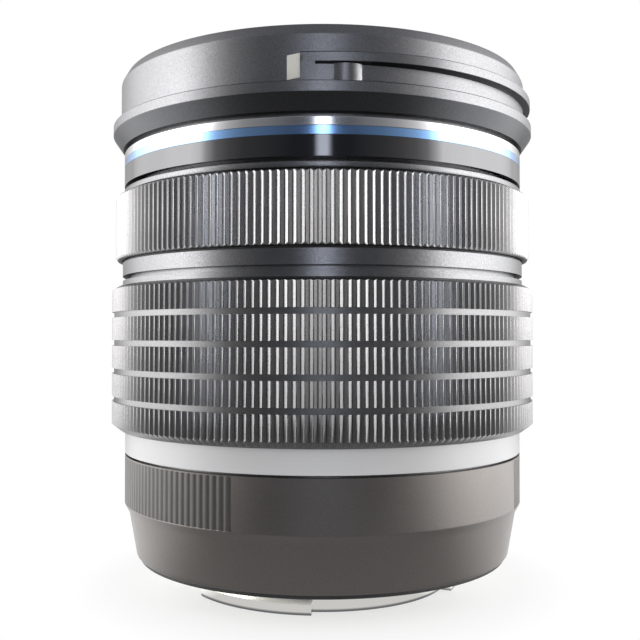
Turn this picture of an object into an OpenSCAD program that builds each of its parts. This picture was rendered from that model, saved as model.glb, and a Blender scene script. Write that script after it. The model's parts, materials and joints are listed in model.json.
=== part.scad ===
// Compact camera zoom lens, standing on its mount, front glass up.
// Origin: centre of the mount flange face, on the optical axis. Millimetres.

/* [Mount] */
// Inner radius of the bayonet tube
throat_r = 17.5; // [16:0.1:18.5]
// Wall of the bayonet tube
tube_wall = 1.5; // [1:0.1:2]
// Depth of the bayonet tube below the flange face
tube_drop = 4.0; // [3.6:0.1:6]
// Reach of the bayonet tabs beyond the tube
tab_reach = 1.6; // [1:0.1:2.2]
// Thickness of the bayonet tabs
tab_t = 1.4; // [0.8:0.1:2.2]
// Arc of each bayonet tab, degrees
tab_span = 52; // [30:1:80]
// Direction of the middle of the first tab, degrees
tab_angle = -120; // [-180:1:180]
// Thickness of the mount flange
mount_t = 1.6; // [1.3:0.1:2.5]
// Number of mount screws
screw_count = 4; // [3:1:6]
// Distance of the mount screws from the bayonet tube
screw_offset = 4.6; // [4:0.1:5.2]
// Radius of a screw's shank
screw_r = 0.8; // [0.5:0.05:1]
// Radius of a screw's head
screw_head_r = 1.6; // [1.2:0.05:1.9]
// Number of electrical contacts
contact_count = 11; // [6:1:12]
// Radius of one contact pin
contact_r = 0.45; // [0.3:0.05:0.6]

/* [Base shell] */
// Height of the base shell's top above the flange face
base_h = 15.4; // [14:0.1:20]
// How far the base shell stays inside the rings' plain rims
base_inset = 0.43; // [0:0.01:0.6]
// How far the foot of the base shell draws in
base_draw = 1.72; // [1:0.01:2.4]
// Height of the foot above the flange face
base_foot_z = 0.6; // [0.5:0.1:1.1]
// Height of the edge above the tapered foot
base_waist_z = 8.3; // [7:0.1:10]
// Depth of the grip ribs on the base
base_rib_depth = 0.3; // [0.1:0.05:0.6]
// Number of grip ribs on each side of the base
base_rib_count = 46; // [10:1:60]
// Pitch of the grip ribs, degrees
base_rib_pitch = 2.0; // [1.5:0.1:2.4]
// Direction of the middle of the first rib panel, degrees
base_rib_angle = -158.5; // [-180:0.5:180]

/* [Barrels] */
// Radius of the plain rims of the turning rings
ring_r = 30.2; // [28.5:0.1:34]
// Wall of each nested barrel
barrel_t = 0.8; // [0.6:0.05:0.95]
// Running gap between barrels
run_gap = 0.3; // [0.2:0.05:0.35]
// Gap between pieces that are glued or screwed together
fit_gap = 0.05; // [0.02:0.01:0.1]
// Visible gap beside a turning ring
ring_gap = 0.5; // [0.35:0.05:0.8]
// Visible gap between the base shell and the scale ring
base_gap = 0.3; // [0.2:0.05:0.8]

/* [Zoom ring] */
// Height of the silver scale ring
scale_h = 3.3; // [2:0.1:5]
// Thickness of the zoom grip, from its bore to the rib tips
zoom_grip_t = 1.45; // [1.2:0.05:2]
// Number of rows of ribs
zoom_rows = 5; // [3:1:7]
// Height of one row of ribs
zoom_row_h = 3.23; // [2.5:0.01:4]
// Groove between the rows
zoom_row_gap = 0.8; // [0.4:0.05:1.2]
// Height of the chamfer under the ribs
zoom_chamfer_h = 1.0; // [0.5:0.1:1.6]
// Height of the edge over the ribs
zoom_edge_h = 0.55; // [0.3:0.05:1]
// Height of the plain rim over the grip
zoom_rim_h = 1.0; // [0.6:0.1:2]
// Turn of the zoom ring from wide to long, degrees
zoom_turn = 70; // [50:1:72]

/* [Ribs] */
// Number of ribs round each grip
rib_count = 192; // [96:1:200]
// Height of a rib
rib_h = 0.24; // [0.16:0.02:0.5]
// Share of the pitch taken by the flat top of a rib
rib_top = 0.08; // [0.06:0.02:0.4]
// Share of the pitch taken by the foot of a rib
rib_foot = 0.9; // [0.5:0.02:0.94]

/* [Focus ring] */
// Height of the plain fixed band between the rings
mid_band_h = 2.0; // [1:0.1:3]
// Height of the ribs of the focus grip
focus_rib_h = 8.4; // [6:0.1:12]
// Height of the chamfer over and under the focus ribs
focus_edge_h = 0.4; // [0.2:0.05:0.8]
// Thickness of the focus grip, from its bore to the rib tips
focus_grip_t = 0.95; // [0.9:0.05:1.6]
// Height of the ring that holds the focus ring
retainer_h = 0.7; // [0.5:0.1:1.5]

/* [Front ring] */
// Height of the gloss black band
trim_h = 2.7; // [1.5:0.1:4]
// Height of the blue ring
accent_h = 1.1; // [0.5:0.1:2]
// Height of the polished rim
rim_h = 1.1; // [0.8:0.1:3]
// Height of the narrow neck under the front ring
neck_h = 0.6; // [0.3:0.1:1]
// Height of the conical underside of the front ring
under_h = 2.0; // [1:0.1:3]
// Reach of the lip beyond the plain rims
lip_reach = 1.4; // [0.8:0.1:2]
// Height of the lip
lip_h = 1.7; // [1:0.1:3]
// Height of the hood track above the lip
track_h = 1.9; // [1.4:0.1:3]
// Height of the rail over the hood track
rail_h = 1.7; // [1:0.1:2.5]
// Reach of the rail beyond the front band
rail_reach = 1.0; // [0.6:0.05:1.1]
// Arc of each rail, degrees
rail_span = 90; // [60:1:100]
// Direction of the start of the first rail, degrees
rail_angle = -95; // [-180:1:180]
// Height of the plain band above the rail
brow_h = 2.1; // [1:0.1:4]
// Height of the chamfer at the front edge
brow_chamfer_h = 1.4; // [0.5:0.1:2]
// Wall between the filter thread and the front edge
brow_edge_t = 1.1; // [0.8:0.05:1.3]
// Length of the filter thread
thread_l = 4.5; // [3:0.1:5]
// Width of the hood index bar
index_w = 1.45; // [0.8:0.05:2]
// Height of the hood index bar
index_h = 3.3; // [2:0.1:3.5]

/* [Optics] */
// Radius of the front element
front_glass_r = 20.2; // [17:0.1:21]
// Radius of the second element
second_glass_r = 18.2; // [16:0.1:18.5]
// Radius of the element in the zoom carriage
variator_r = 9.0; // [7.5:0.1:10]
// Radius of the focus element
focus_glass_r = 8.0; // [6:0.1:9.5]
// Radius of the rear element
rear_glass_r = 11.2; // [9:0.1:12]

/* [Carriage] */
// Travel of the carriage over the whole zoom turn
carriage_travel = 12; // [8:0.5:14]
// Travel of the focus cell
focus_travel = 2.5; // [1:0.1:3]
// Turn of an iris blade from open to closed, degrees
blade_turn = 26; // [15:1:27]
// Number of iris blades
blade_count = 7; // [7:1:7]
// Width of an iris blade's crescent
blade_w = 5.2; // [4:0.1:5.5]
// Thickness of an iris blade
blade_t = 0.12; // [0.08:0.01:0.14]

/* [Hidden] */
$fn = 180;

// Overrun of a cutting shape past the face that it cuts
cut = 0.5;

// Radii of the nested barrels, from the rings inwards
ring_in = ring_r - barrel_t;
mid_out = ring_in - run_gap;
mid_in = mid_out - barrel_t;
front_out = mid_in - run_gap;
front_in = front_out - barrel_t;
cam_out = front_in - run_gap;
cam_in = cam_out - barrel_t;
guide_out = cam_in - run_gap;
guide_in = guide_out - barrel_t;
carriage_out = guide_in - run_gap;
carriage_t = 1.1;
carriage_in = carriage_out - carriage_t;
grip_in = ring_r + fit_gap;
zoom_tip_r = grip_in + zoom_grip_t;
focus_tip_r = grip_in + focus_grip_t;
rib_groove = 0.15;
rib_sink = 0.12;
rib_edge = 0.1;
grip_foot_t = 0.1;
grip_head_t = 0.4;

// Mount
tube_r = throat_r + tube_wall;
tab_r = tube_r + tab_reach;
base_r = ring_r - base_inset;
base_foot_r = base_r - base_draw;
foot_w = 0.9;
mount_r = base_foot_r - foot_w - 3 * fit_gap;
seal_w = 0.4;
seal_t = 0.5;
tab_count = 3;
screw_circle_r = tube_r + screw_offset;
screw_angle = 45;
screw_head_t = 0.8;
screw_sunk = 0.1;
screw_l = 3.9;
lock_slot_r = 1.9;
lock_slot_depth = 1.0;
lock_slot_angle = 80;

// Base shell
shoulder_step = 1.5;
shoulder_in = tube_r + shoulder_step;
shoulder_t = 3.0;
shoulder_top = mount_t + shoulder_t;
cavity_r = mount_r;
ledge_z = 9.0;
spigot_out = mid_in - 2 * fit_gap;
spigot_in = spigot_out - barrel_t;
base_bore_r = spigot_out + 4 * fit_gap;
base_bevel_w = 0.67;
base_bevel_h = 1.2;
base_waist_r = base_r - base_bevel_w;
base_round = 0.5;
base_round_steps = 6;
base_cone_z = base_foot_z + base_round;
base_cone_top = base_waist_z - base_bevel_h;
rib_margin = 0.2;
base_groove_share = 0.6;
dot_r = 1.1;
dot_angle = 90;
dot_z = 3.6;
dot_proud = 0.2;
dot_sunk = 1.0;
dot_share = (dot_z - base_cone_z) / (base_cone_top - base_cone_z);
dot_face_r = base_foot_r + (base_waist_r - base_foot_r) * dot_share;

// Rear optics and electronics
baffle_t = 1.2;
baffle_rear_z = -0.6;
baffle_r = throat_r - 3 * fit_gap;
baffle_wall = 1.85;
baffle_flange_t = 0.8;
baffle_flange_r = shoulder_in - 6 * fit_gap;
window_w = 21;
window_h = 16;
cell_z = mount_t + baffle_flange_t;
cell_ledge = 0.8;
cell_wall = 1.3;
cell_top_z = ledge_z;
cell_lip = 0.9;
rear_edge_t = 2.4;
rear_bulges = [2.2, -0.8];
block_w = 3.7;
block_in = throat_r - block_w;
block_t = 2.9;
block_span = 66;
contact_angle = -90;
contact_inset = 1.9;
contact_circle_r = throat_r - contact_inset;
contact_step = 5.2;
contact_proud = 0.2;
board_t = 0.8;
board_gap_angle = 40;
board_margin = 0.7;
chip_w = 3.2;
chip_l = 5.6;
chip_h = 1.2;
chip_angles = [0, 75, 150, 225];

// Heights of the rings
scale_z = base_h + base_gap;
zoom_z = scale_z + scale_h;
zoom_rows_z = zoom_z + zoom_chamfer_h;
zoom_pitch_h = zoom_row_h + zoom_row_gap;
zoom_rows_top = zoom_rows_z + zoom_rows * zoom_pitch_h - zoom_row_gap;
zoom_grip_top = zoom_rows_top + zoom_edge_h;
zoom_top = zoom_grip_top + zoom_rim_h;
mid_band_z = zoom_top + ring_gap;
mid_band_top = mid_band_z + mid_band_h;
slip_t = run_gap;
focus_z = mid_band_top + 2 * run_gap;
focus_grip_z = mid_band_top + run_gap;
focus_grip_top = focus_grip_z + 2 * focus_edge_h + focus_rib_h;
retainer_gap = 0.4;
retainer_inset = 0.2;
retainer_z = focus_grip_top + retainer_gap;
retainer_top = retainer_z + retainer_h;
barrel_seal_h = 1.0;
seal_z = retainer_z - barrel_seal_h;
front_gap = 0.6;
trim_z = retainer_top + front_gap;
accent_z = trim_z + trim_h;
rim_z = accent_z + accent_h;
front_ring_z = rim_z + rim_h;
neck_z = front_ring_z + neck_h;
lip_z = neck_z + under_h;
track_z = lip_z + lip_h;
rail_z = track_z + track_h;
rail_top = rail_z + rail_h;
brow_z = rail_top + brow_h;
front_z = brow_z + brow_chamfer_h;

// Zoom drive: followers, cams and key
follower_r = 1.0;
follower_gap = 0.2;
slot_end = follower_r + run_gap;
guide_z = ledge_z;
guide_flange_t = 1.2;
mid_z = guide_z + guide_flange_t;
cam_z = mid_z + run_gap;
cam_top = seal_z;
key_r = 1.0;
key_rise = 2.0;
key_z = zoom_z + key_rise;
key_clear_angle = 0.5;
front_bottom = key_z + key_r + slot_end;
follower_edge = 0.7;
front_follower_z = front_bottom + follower_r + follower_edge;
front_travel = cam_top - slot_end - front_follower_z;
front_follower_angle = 30;
carriage_follower_angle = -12;
carriage_rise = 4.5;
carriage_z = ledge_z + carriage_rise;
carriage_follower_rise = 4.5;
carriage_follower_z = carriage_z + carriage_follower_rise;
key_angle = 50;
follower_count = 3;
cam_steps = 14;
spigot_rise = 2.0;
mid_step_z = base_h + spigot_rise;
encoder_z = zoom_rows_z + zoom_pitch_h * 2;
encoder_h = 6;
encoder_span = 60;
encoder_angle = 200;
encoder_t = 0.3;
sensor_h = 3.4;
sensor_z = (focus_grip_z + focus_grip_top) / 2;
sensor_span = 10;
sensor_side = 0.1;
encoder_side = 0.2;
sensor_angle = -20;

// Front group
front_seat_h = 0.9;
front_barrel_top = front_ring_z + front_seat_h;
trim_in = front_out + fit_gap;
rim_inset = 0.23;
rim_r = ring_r - rim_inset;
band_proud = 0.25;
band_r = ring_r + band_proud;
lip_r = ring_r + lip_reach;
lip_shoulder_h = 0.3;
neck_in = 0.8;
neck_r = rim_r - neck_in;
cell_flange_t = 1.6;
clamp_z = front_barrel_top + cell_flange_t;
clamp_t = 0.8;
clamp_lip = 0.7;
clamp_in = front_in - clamp_lip;
brow_chamfer_w = 0.75;
thread_r = band_r - brow_chamfer_w - brow_edge_t;
thread_z = front_z - thread_l;
thread_depth = 0.3;
relief_r = thread_r + thread_depth;
cell_clear = 0.7;
cell_bottom = cam_top + cell_clear;
front_cell_wall = 1.7;
front_cell_r = front_glass_r + front_cell_wall;
cell_gap = 2 * fit_gap;
ledge_t = 0.8;
second_edge_t = 3.2;
second_ledge_z = cell_bottom + second_edge_t;
front_seat_z = second_ledge_z + ledge_t;
second_bulges = [-1.1, -0.8];
front_edge_t = 1.8;
front_bulges = [4.2, -2.6];
name_lap = 1.4;
name_in = front_glass_r - name_lap;
name_t = 0.7;
name_z = clamp_z + clamp_t;
name_out = thread_r - thread_depth;
name_rise = 2.0;
name_edge = 0.8;
index_angle = -96.6;
index_t = 0.35;
rail_root = 0.2;
rail_edge = 0.2;
stop_span = 3.4;
stop_inset = 0.05;
stop_drop = 0.35;
stop_lap = 0.1;
detent_r = 0.75;
detent_sunk = 0.1;
detent_angles = [-85.4, -82.4];

// Carriage
foot_ring_t = 1.0;
foot_ring_in = 14.8;
focus_clear = 1.0;
focus_cell_z = carriage_z + foot_ring_t + focus_clear;
focus_cell_h = 2.6;
focus_wall = 1.3;
focus_ledge_t = 0.6;
focus_ear_r = 1.7;
focus_arm_w = 2.0;
focus_tongue_t = 1.0;
focus_bulges = [-0.5, -0.3];
variator_edge_t = 3.0;
variator_wall = 1.1;
variator_tube_h = 4.4;
variator_bulges = [-0.7, -1.0];
bulkhead_z = focus_cell_z + focus_cell_h + focus_travel + focus_clear + variator_tube_h;
bulkhead_t = 1.4;
rod_r = 0.6;
rod_circle_r = 17;
rod_angles = [0, 180];
rod_top = bulkhead_z + bulkhead_t / 2;
magnet_angles = [90, 270];
magnet_w = 8;
magnet_t = 1.6;
magnet_h = 7.0;
magnet_circle_r = 18.6;
coil_w = 7.0;
coil_t = 1.2;
coil_side = 1.4;
coil_rise = 1.6;
coil_h = focus_cell_h + coil_rise;
coil_circle_r = 16.2;
motor_r = 2.8;
motor_circle_r = 18.2;
motor_angle = 45;
motor_h = 5;

// Iris
iris_z = bulkhead_z + bulkhead_t;
iris_base_t = 0.8;
iris_rim_t = 1.1;
iris_rim_gap = 2.6;
iris_rim_r = carriage_in - iris_rim_gap;
iris_ring_out = iris_rim_r - iris_rim_t - run_gap;
iris_ring_t = 0.8;
iris_ring_w = 5.0;
drive_inset = 2.6;
drive_r = iris_ring_out - drive_inset;
drive_arm = 4.0;
pivot_r = drive_r - drive_arm;
pivot_boss_r = 1.0;
drive_boss_r = 0.9;
blade_arm_w = 1.4;
blade_neck_l = 1.4;
blade_edge_in = 0.8;
blade_out = pivot_r - blade_edge_in;
blade_in = blade_out - blade_w;
blade_arc = 86;
blade_pin_r = 0.5;
pin_floor = 0.2;
pin_clear = 0.1;
pin_play = 0.15;
drive_slot_l = 2.4;
blade_step = 0.2;
blade_z = iris_z + iris_base_t + blade_step;
blade_levels = blade_count * blade_step;
iris_ring_z = blade_z + blade_levels + run_gap;
iris_cover_z = iris_ring_z + iris_ring_t + run_gap;
iris_cover_t = 0.6;
iris_step = 0.8;
stop_r = blade_in + pin_floor;
cover_stop_r = blade_in + 3 * pin_floor;
carriage_rim_h = 1.2;
carriage_top = iris_cover_z + iris_cover_t + carriage_rim_h;
drive_start = atan2(drive_arm * sin(blade_turn / 2), pivot_r + drive_arm * cos(blade_turn / 2));

// Plain tube standing on a height
module tube(r_out, r_in, z0, z1) {
  translate([0, 0, z0])
    difference() {
      cylinder(r = r_out, h = z1 - z0);
      translate([0, 0, -cut]) cylinder(r = r_in, h = z1 - z0 + 2 * cut);
    }
}

// Part of a tube between two directions
module tube_sector(r_out, r_in, z0, z1, start, span) {
  rotate([0, 0, start])
    rotate_extrude(angle = span)
      translate([r_in, z0])
        square([r_out - r_in, z1 - z0]);
}

// Round pin that points away from the axis
module radial_pin(radius, r_in, r_out, angle, z) {
  rotate([0, 0, angle])
    translate([r_in, 0, z])
      rotate([0, 90, 0])
        cylinder(r = radius, h = r_out - r_in, $fn = 32);
}

// Points of a ring of flat-topped ribs
function rib_corner(i, k, root_r, tip_r) =
  let (pitch = 360 / rib_count)
  let (share = [-rib_foot, -rib_top, rib_top, rib_foot][k])
  let (radius = [root_r, tip_r, tip_r, root_r][k])
  let (angle = (i + share / 2) * pitch)
  radius * [cos(angle), sin(angle)];

function rib_outline(root_r, tip_r) = [
  for (i = [0:rib_count - 1], k = [0:3]) rib_corner(i, k, root_r, tip_r)
];

// One row of ribs round a sleeve
module rib_row(tip_r, bore_r, z, h) {
  translate([0, 0, z])
    linear_extrude(h)
      difference() {
        polygon(rib_outline(tip_r - rib_h, tip_r));
        circle(r = bore_r);
      }
}

// Corner points of a helical slot, one square of four for each step along it
function slot_points(r0, r1, angle, turn, z, rise, half_h, over) = [
  for (i = [0:cam_steps])
    let (t = -over + (1 + 2 * over) * i / cam_steps)
    let (a = angle + turn * t)
    let (height = z + rise * t)
    each [
      [r0 * cos(a), r0 * sin(a), height - half_h],
      [r1 * cos(a), r1 * sin(a), height - half_h],
      [r1 * cos(a), r1 * sin(a), height + half_h],
      [r0 * cos(a), r0 * sin(a), height + half_h]
    ]
];

slot_faces = concat(
  [
    for (i = [0:cam_steps - 1], k = [0:3])
      let (a = 4 * i + k)
      let (b = 4 * i + (k + 1) % 4)
      each [[a, a + 4, b], [b, a + 4, b + 4]]
  ],
  [[0, 1, 2], [0, 2, 3]],
  let (n = 4 * cam_steps) [[n, n + 2, n + 1], [n, n + 3, n + 2]]
);

// Helical cutter: a follower standing still meets it as the barrel turns by the zoom turn
module cam_slot(angle, z, rise) {
  mean_r = (cam_in + cam_out) / 2;
  half_w = follower_r + follower_gap;
  slope = atan2(rise, mean_r * zoom_turn * PI / 180);
  over = (half_w + follower_gap) / (cam_in * PI / 180) / zoom_turn;
  polyhedron(
    points = slot_points(cam_in - cut, cam_out + cut, angle, -zoom_turn, z, rise, half_w / cos(slope), over),
    faces = slot_faces
  );
}

// Straight slot along the axis through a barrel wall
module guide_slot(angle, z0, z1) {
  half_w = follower_r + follower_gap;
  rotate([0, 0, angle])
    translate([guide_in - cut, -half_w, z0])
      cube([guide_out - guide_in + 2 * cut, 2 * half_w, z1 - z0]);
}

// Glass: a bulge is positive at a convex face and negative at a hollow one
lens_slab = 14;
cap_facets = 720;

function cap_radius(r, bulge) = (r * r + bulge * bulge) / (2 * abs(bulge));

// Half outline of the glass under one face
module below_face(r, z, bulge) {
  cap_r = cap_radius(r, bulge);
  if (bulge > 0)
    intersection() {
      translate([0, z - lens_slab]) square([r, lens_slab + bulge]);
      translate([0, z + bulge - cap_r]) circle(r = cap_r, $fn = cap_facets);
    }
  else
    difference() {
      translate([0, z - lens_slab]) square([r, lens_slab + cut]);
      translate([0, z + bulge + cap_r]) circle(r = cap_r, $fn = cap_facets);
    }
}

module lens(r, z0, z1, bulges) {
  rotate_extrude()
    intersection() {
      below_face(r, z1, bulges[0]);
      mirror([0, 1]) below_face(r, -z0, bulges[1]);
    }
}

// Mount and base

module at_screws() {
  for (i = [0:screw_count - 1])
    rotate([0, 0, screw_angle + i * 360 / screw_count])
      translate([screw_circle_r, 0, 0])
        children();
}

module bayonet_mount() {
  color("#b9b6ae")
    difference() {
      union() {
        rotate_extrude()
          polygon([
            [throat_r, -tube_drop], [tube_r, -tube_drop], [tube_r, 0],
            [mount_r, 0], [mount_r, mount_t], [throat_r, mount_t]
          ]);
        for (i = [0:tab_count - 1])
          tube_sector(
            tab_r, tube_r - cut, -tube_drop, -tube_drop + tab_t,
            tab_angle - tab_span / 2 + i * 360 / tab_count, tab_span
          );
      }
      at_screws() {
        translate([0, 0, -cut])
          cylinder(r = screw_r + 2 * fit_gap, h = mount_t + 2 * cut, $fn = 32);
        translate([0, 0, -cut])
          cylinder(r = screw_head_r + 2 * fit_gap, h = cut + screw_sunk + screw_head_t, $fn = 32);
      }
      rotate([0, 0, lock_slot_angle])
        translate([screw_circle_r, 0, -cut])
          cylinder(r = lock_slot_r, h = cut + lock_slot_depth, $fn = 32);
    }
}

module mount_screws() {
  color("#8d8c88")
    at_screws() {
      translate([0, 0, screw_sunk]) cylinder(r = screw_head_r, h = screw_head_t, $fn = 32);
      translate([0, 0, screw_sunk]) cylinder(r = screw_r, h = screw_l, $fn = 32);
    }
}

module mount_seal() {
  color("#17181a")
    tube(mount_r + 2 * fit_gap + seal_w, mount_r + 2 * fit_gap, base_foot_z - seal_t, base_foot_z);
}

module mount_dot() {
  color("#b3201f")
    radial_pin(dot_r, base_foot_r - dot_sunk, dot_face_r + dot_proud, dot_angle, dot_z);
}

module contact_block() {
  color("#1d1d1f")
    difference() {
      tube_sector(
        throat_r - 6 * fit_gap, block_in, baffle_rear_z - block_t, baffle_rear_z,
        contact_angle - block_span / 2, block_span
      );
      at_contacts()
        translate([0, 0, baffle_rear_z - block_t - cut])
          cylinder(r = contact_r + fit_gap, h = block_t, $fn = 24);
    }
}

module at_contacts() {
  for (i = [0:contact_count - 1])
    rotate([0, 0, contact_angle + (i - (contact_count - 1) / 2) * contact_step])
      translate([contact_circle_r, 0, 0])
        children();
}

module contact_pins() {
  color("#c9a24a")
    at_contacts()
      translate([0, 0, baffle_rear_z - block_t - contact_proud])
        cylinder(r = contact_r, h = block_t - cut + contact_proud, $fn = 24);
}

module rear_baffle() {
  color("#161719")
    difference() {
      union() {
        translate([0, 0, baffle_rear_z]) cylinder(r = baffle_r, h = cell_z - baffle_rear_z);
        translate([0, 0, mount_t]) cylinder(r = baffle_flange_r, h = baffle_flange_t);
      }
      translate([0, 0, baffle_rear_z + baffle_t])
        cylinder(r = baffle_r - baffle_wall, h = cell_z - baffle_rear_z);
      translate([-window_w / 2, -window_h / 2, baffle_rear_z - cut])
        cube([window_w, window_h, baffle_t + 2 * cut]);
    }
}

module rear_cell() {
  bore_r = rear_glass_r + cell_gap;
  color("#202124")
    rotate_extrude()
      polygon([
        [bore_r - cell_lip, cell_z], [baffle_flange_r, cell_z], [baffle_flange_r, cell_z + cell_ledge],
        [bore_r + cell_wall, cell_z + cell_ledge], [bore_r + cell_wall, cell_top_z], [bore_r, cell_top_z],
        [bore_r, cell_z + cell_ledge], [bore_r - cell_lip, cell_z + cell_ledge]
      ]);
}

module rear_element() {
  seat_z = cell_z + cell_ledge;
  color("#9fb6c4")
    lens(rear_glass_r, seat_z, seat_z + rear_edge_t, rear_bulges);
}

module base_outline() {
  foot_edge = [
    for (i = [0:base_round_steps])
      let (a = 90 * i / base_round_steps - 90)
      [base_foot_r - base_round + base_round * cos(a), base_cone_z + base_round * sin(a)]
  ];
  polygon(concat(
    [[shoulder_in, mount_t], [mount_r + 2 * fit_gap, mount_t], [mount_r + 2 * fit_gap, base_foot_z]],
    foot_edge,
    [
      [base_waist_r, base_cone_top], [base_r, base_waist_z], [base_r, base_h], [base_bore_r, base_h],
      [base_bore_r, ledge_z], [cavity_r, ledge_z], [cavity_r, shoulder_top], [shoulder_in, shoulder_top]
    ]
  ));
}

// Grooves between the grip ribs, as one comb for each side of the base
module base_rib_comb() {
  half = base_rib_pitch * base_groove_share;
  for (side = [0, 180], i = [0:base_rib_count])
    let (a = base_rib_angle + side + (i - base_rib_count / 2) * base_rib_pitch)
    polygon([
      (base_r - base_rib_depth) * [cos(a), sin(a)],
      (base_r + base_rib_depth) * [cos(a + half), sin(a + half)],
      (base_r + base_rib_depth) * [cos(a - half), sin(a - half)]
    ]);
}

module base_shell() {
  color("#2b2a2a")
    difference() {
      rotate_extrude() base_outline();
      translate([0, 0, base_waist_z + rib_margin])
        linear_extrude(base_h - base_waist_z - 2 * rib_margin)
          base_rib_comb();
      at_screws()
        translate([0, 0, mount_t - cut])
          cylinder(r = screw_r + fit_gap, h = shoulder_top - mount_t + 2 * cut, $fn = 32);
      radial_pin(dot_r + fit_gap, base_foot_r - dot_sunk, base_r + cut, dot_angle, dot_z);
    }
}

module main_board() {
  board_out = cavity_r - run_gap;
  board_in = shoulder_in + board_margin;
  mid_r = (board_out + board_in) / 2;
  color("#1f5a3a")
    union() {
      tube_sector(
        board_out, board_in, shoulder_top, shoulder_top + board_t,
        contact_angle + board_gap_angle / 2, 360 - board_gap_angle
      );
      at_angles(chip_angles, mid_r)
        translate([0, 0, shoulder_top + board_t + chip_h / 2 - fit_gap])
          cube([chip_w, chip_l, chip_h + 2 * fit_gap], center = true);
    }
}

// Fixed barrels

module guide_barrel() {
  color("#8f9296")
    difference() {
      rotate_extrude()
        polygon([
          [guide_in, guide_z], [base_bore_r - 2 * fit_gap, guide_z], [base_bore_r - 2 * fit_gap, mid_z],
          [guide_out, mid_z], [guide_out, cam_top], [guide_in, cam_top]
        ]);
      for (i = [0:follower_count - 1]) {
        guide_slot(
          front_follower_angle + i * 360 / follower_count,
          front_follower_z - slot_end, cam_top + cut
        );
        guide_slot(
          carriage_follower_angle + i * 360 / follower_count,
          carriage_follower_z - slot_end, carriage_follower_z + carriage_travel + slot_end
        );
      }
    }
}

module mid_barrel() {
  key_margin = (key_r + follower_gap) / mid_in * 180 / PI + key_clear_angle;
  color("#232326")
    difference() {
      rotate_extrude()
        polygon([
          [spigot_in, mid_z], [spigot_out, mid_z], [spigot_out, base_h], [mid_out, base_h],
          [mid_out, mid_band_z], [ring_r, mid_band_z], [ring_r, mid_band_top], [mid_out, mid_band_top],
          [mid_out, retainer_z], [mid_in + barrel_t / 2, retainer_z], [mid_in + barrel_t / 2, seal_z],
          [mid_in, seal_z], [mid_in, mid_step_z], [spigot_in, mid_step_z]
        ]);
      tube_sector(
        mid_out + cut, mid_in - cut, key_z - key_r - follower_gap, key_z + key_r + follower_gap,
        key_angle - key_margin, zoom_turn + 2 * key_margin
      );
      tube_sector(
        mid_out + cut, mid_out - encoder_t, encoder_z, encoder_z + encoder_h, encoder_angle, encoder_span
      );
      tube_sector(
        mid_out + cut, mid_in - cut, sensor_z - sensor_h / 2 - fit_gap, sensor_z + sensor_h / 2 + fit_gap,
        sensor_angle - sensor_side, sensor_span + 2 * sensor_side
      );
    }
}

module focus_slip_ring() {
  color("#d9d6cc")
    tube(ring_r - run_gap, mid_out + fit_gap, mid_band_top, mid_band_top + slip_t);
}

module focus_sensor() {
  color("#39406b")
    tube_sector(
      mid_out - fit_gap, mid_in + fit_gap, sensor_z - sensor_h / 2, sensor_z + sensor_h / 2,
      sensor_angle, sensor_span
    );
}

module zoom_encoder() {
  color("#a8762f")
    tube_sector(
      mid_out - fit_gap, mid_out - encoder_t, encoder_z + fit_gap, encoder_z + encoder_h - fit_gap,
      encoder_angle + encoder_side, encoder_span - 2 * encoder_side
    );
}

module barrel_seal() {
  color("#101113")
    tube(mid_in + barrel_t / 2 - fit_gap, front_out + run_gap / 2, seal_z, retainer_z);
}

module focus_retainer() {
  color("#1b1b1d")
    tube(ring_r - retainer_inset, mid_in, retainer_z, retainer_top);
}

// Zoom ring and cam

module zoom_ring() {
  color("#1a1a1c")
    difference() {
      tube(ring_r, ring_in, zoom_z, zoom_top);
      radial_pin(key_r + fit_gap, ring_in - cut, ring_r + cut, key_angle, key_z);
    }
}

module zoom_grip() {
  core_r = zoom_tip_r - rib_h - rib_groove;
  color("#141416")
    union() {
      rotate_extrude()
        polygon([
          [grip_in, zoom_z], [grip_in + grip_foot_t, zoom_z], [zoom_tip_r - rib_edge, zoom_rows_z],
          [core_r, zoom_rows_z], [core_r, zoom_rows_top], [zoom_tip_r - rib_edge, zoom_rows_top],
          [grip_in + grip_head_t, zoom_grip_top], [grip_in, zoom_grip_top]
        ]);
      for (row = [0:zoom_rows - 1])
        rib_row(zoom_tip_r, core_r - rib_sink, zoom_rows_z + row * zoom_pitch_h, zoom_row_h);
    }
}

module zoom_scale_ring() {
  color("#c3c3c2") tube(base_r, ring_in, scale_z, zoom_z);
}

module zoom_key() {
  color("#c2a35c") radial_pin(key_r, cam_in + fit_gap, ring_r - fit_gap, key_angle, key_z);
}

module cam_barrel() {
  color("#a4a7aa")
    difference() {
      tube(cam_out, cam_in, cam_z, cam_top);
      for (i = [0:follower_count - 1]) {
        cam_slot(front_follower_angle + i * 360 / follower_count, front_follower_z, front_travel);
        cam_slot(carriage_follower_angle + i * 360 / follower_count, carriage_follower_z, carriage_travel);
      }
      radial_pin(key_r + fit_gap, cam_in - cut, cam_out + cut, key_angle, key_z);
    }
}

// Focus ring

module focus_ring() {
  color("#1a1a1c") tube(ring_r, ring_in, focus_z, focus_grip_top);
}

module focus_grip() {
  core_r = focus_tip_r - rib_h - rib_groove;
  rib_z = focus_grip_z + focus_edge_h;
  color("#141416")
    union() {
      rotate_extrude()
        polygon([
          [grip_in, focus_grip_z], [core_r, focus_grip_z], [focus_tip_r - rib_edge, rib_z], [core_r, rib_z],
          [core_r, rib_z + focus_rib_h], [focus_tip_r - rib_edge, rib_z + focus_rib_h],
          [core_r, focus_grip_top], [grip_in, focus_grip_top]
        ]);
      rib_row(focus_tip_r, core_r - rib_sink, rib_z, focus_rib_h);
    }
}

// Front group

module front_barrel() {
  color("#1c1c1e")
    difference() {
      tube(front_out, front_in, front_bottom, front_barrel_top);
      for (i = [0:follower_count - 1])
        radial_pin(
          follower_r + fit_gap, front_in - cut, front_out + cut,
          front_follower_angle + i * 360 / follower_count, front_follower_z
        );
    }
}

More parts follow.
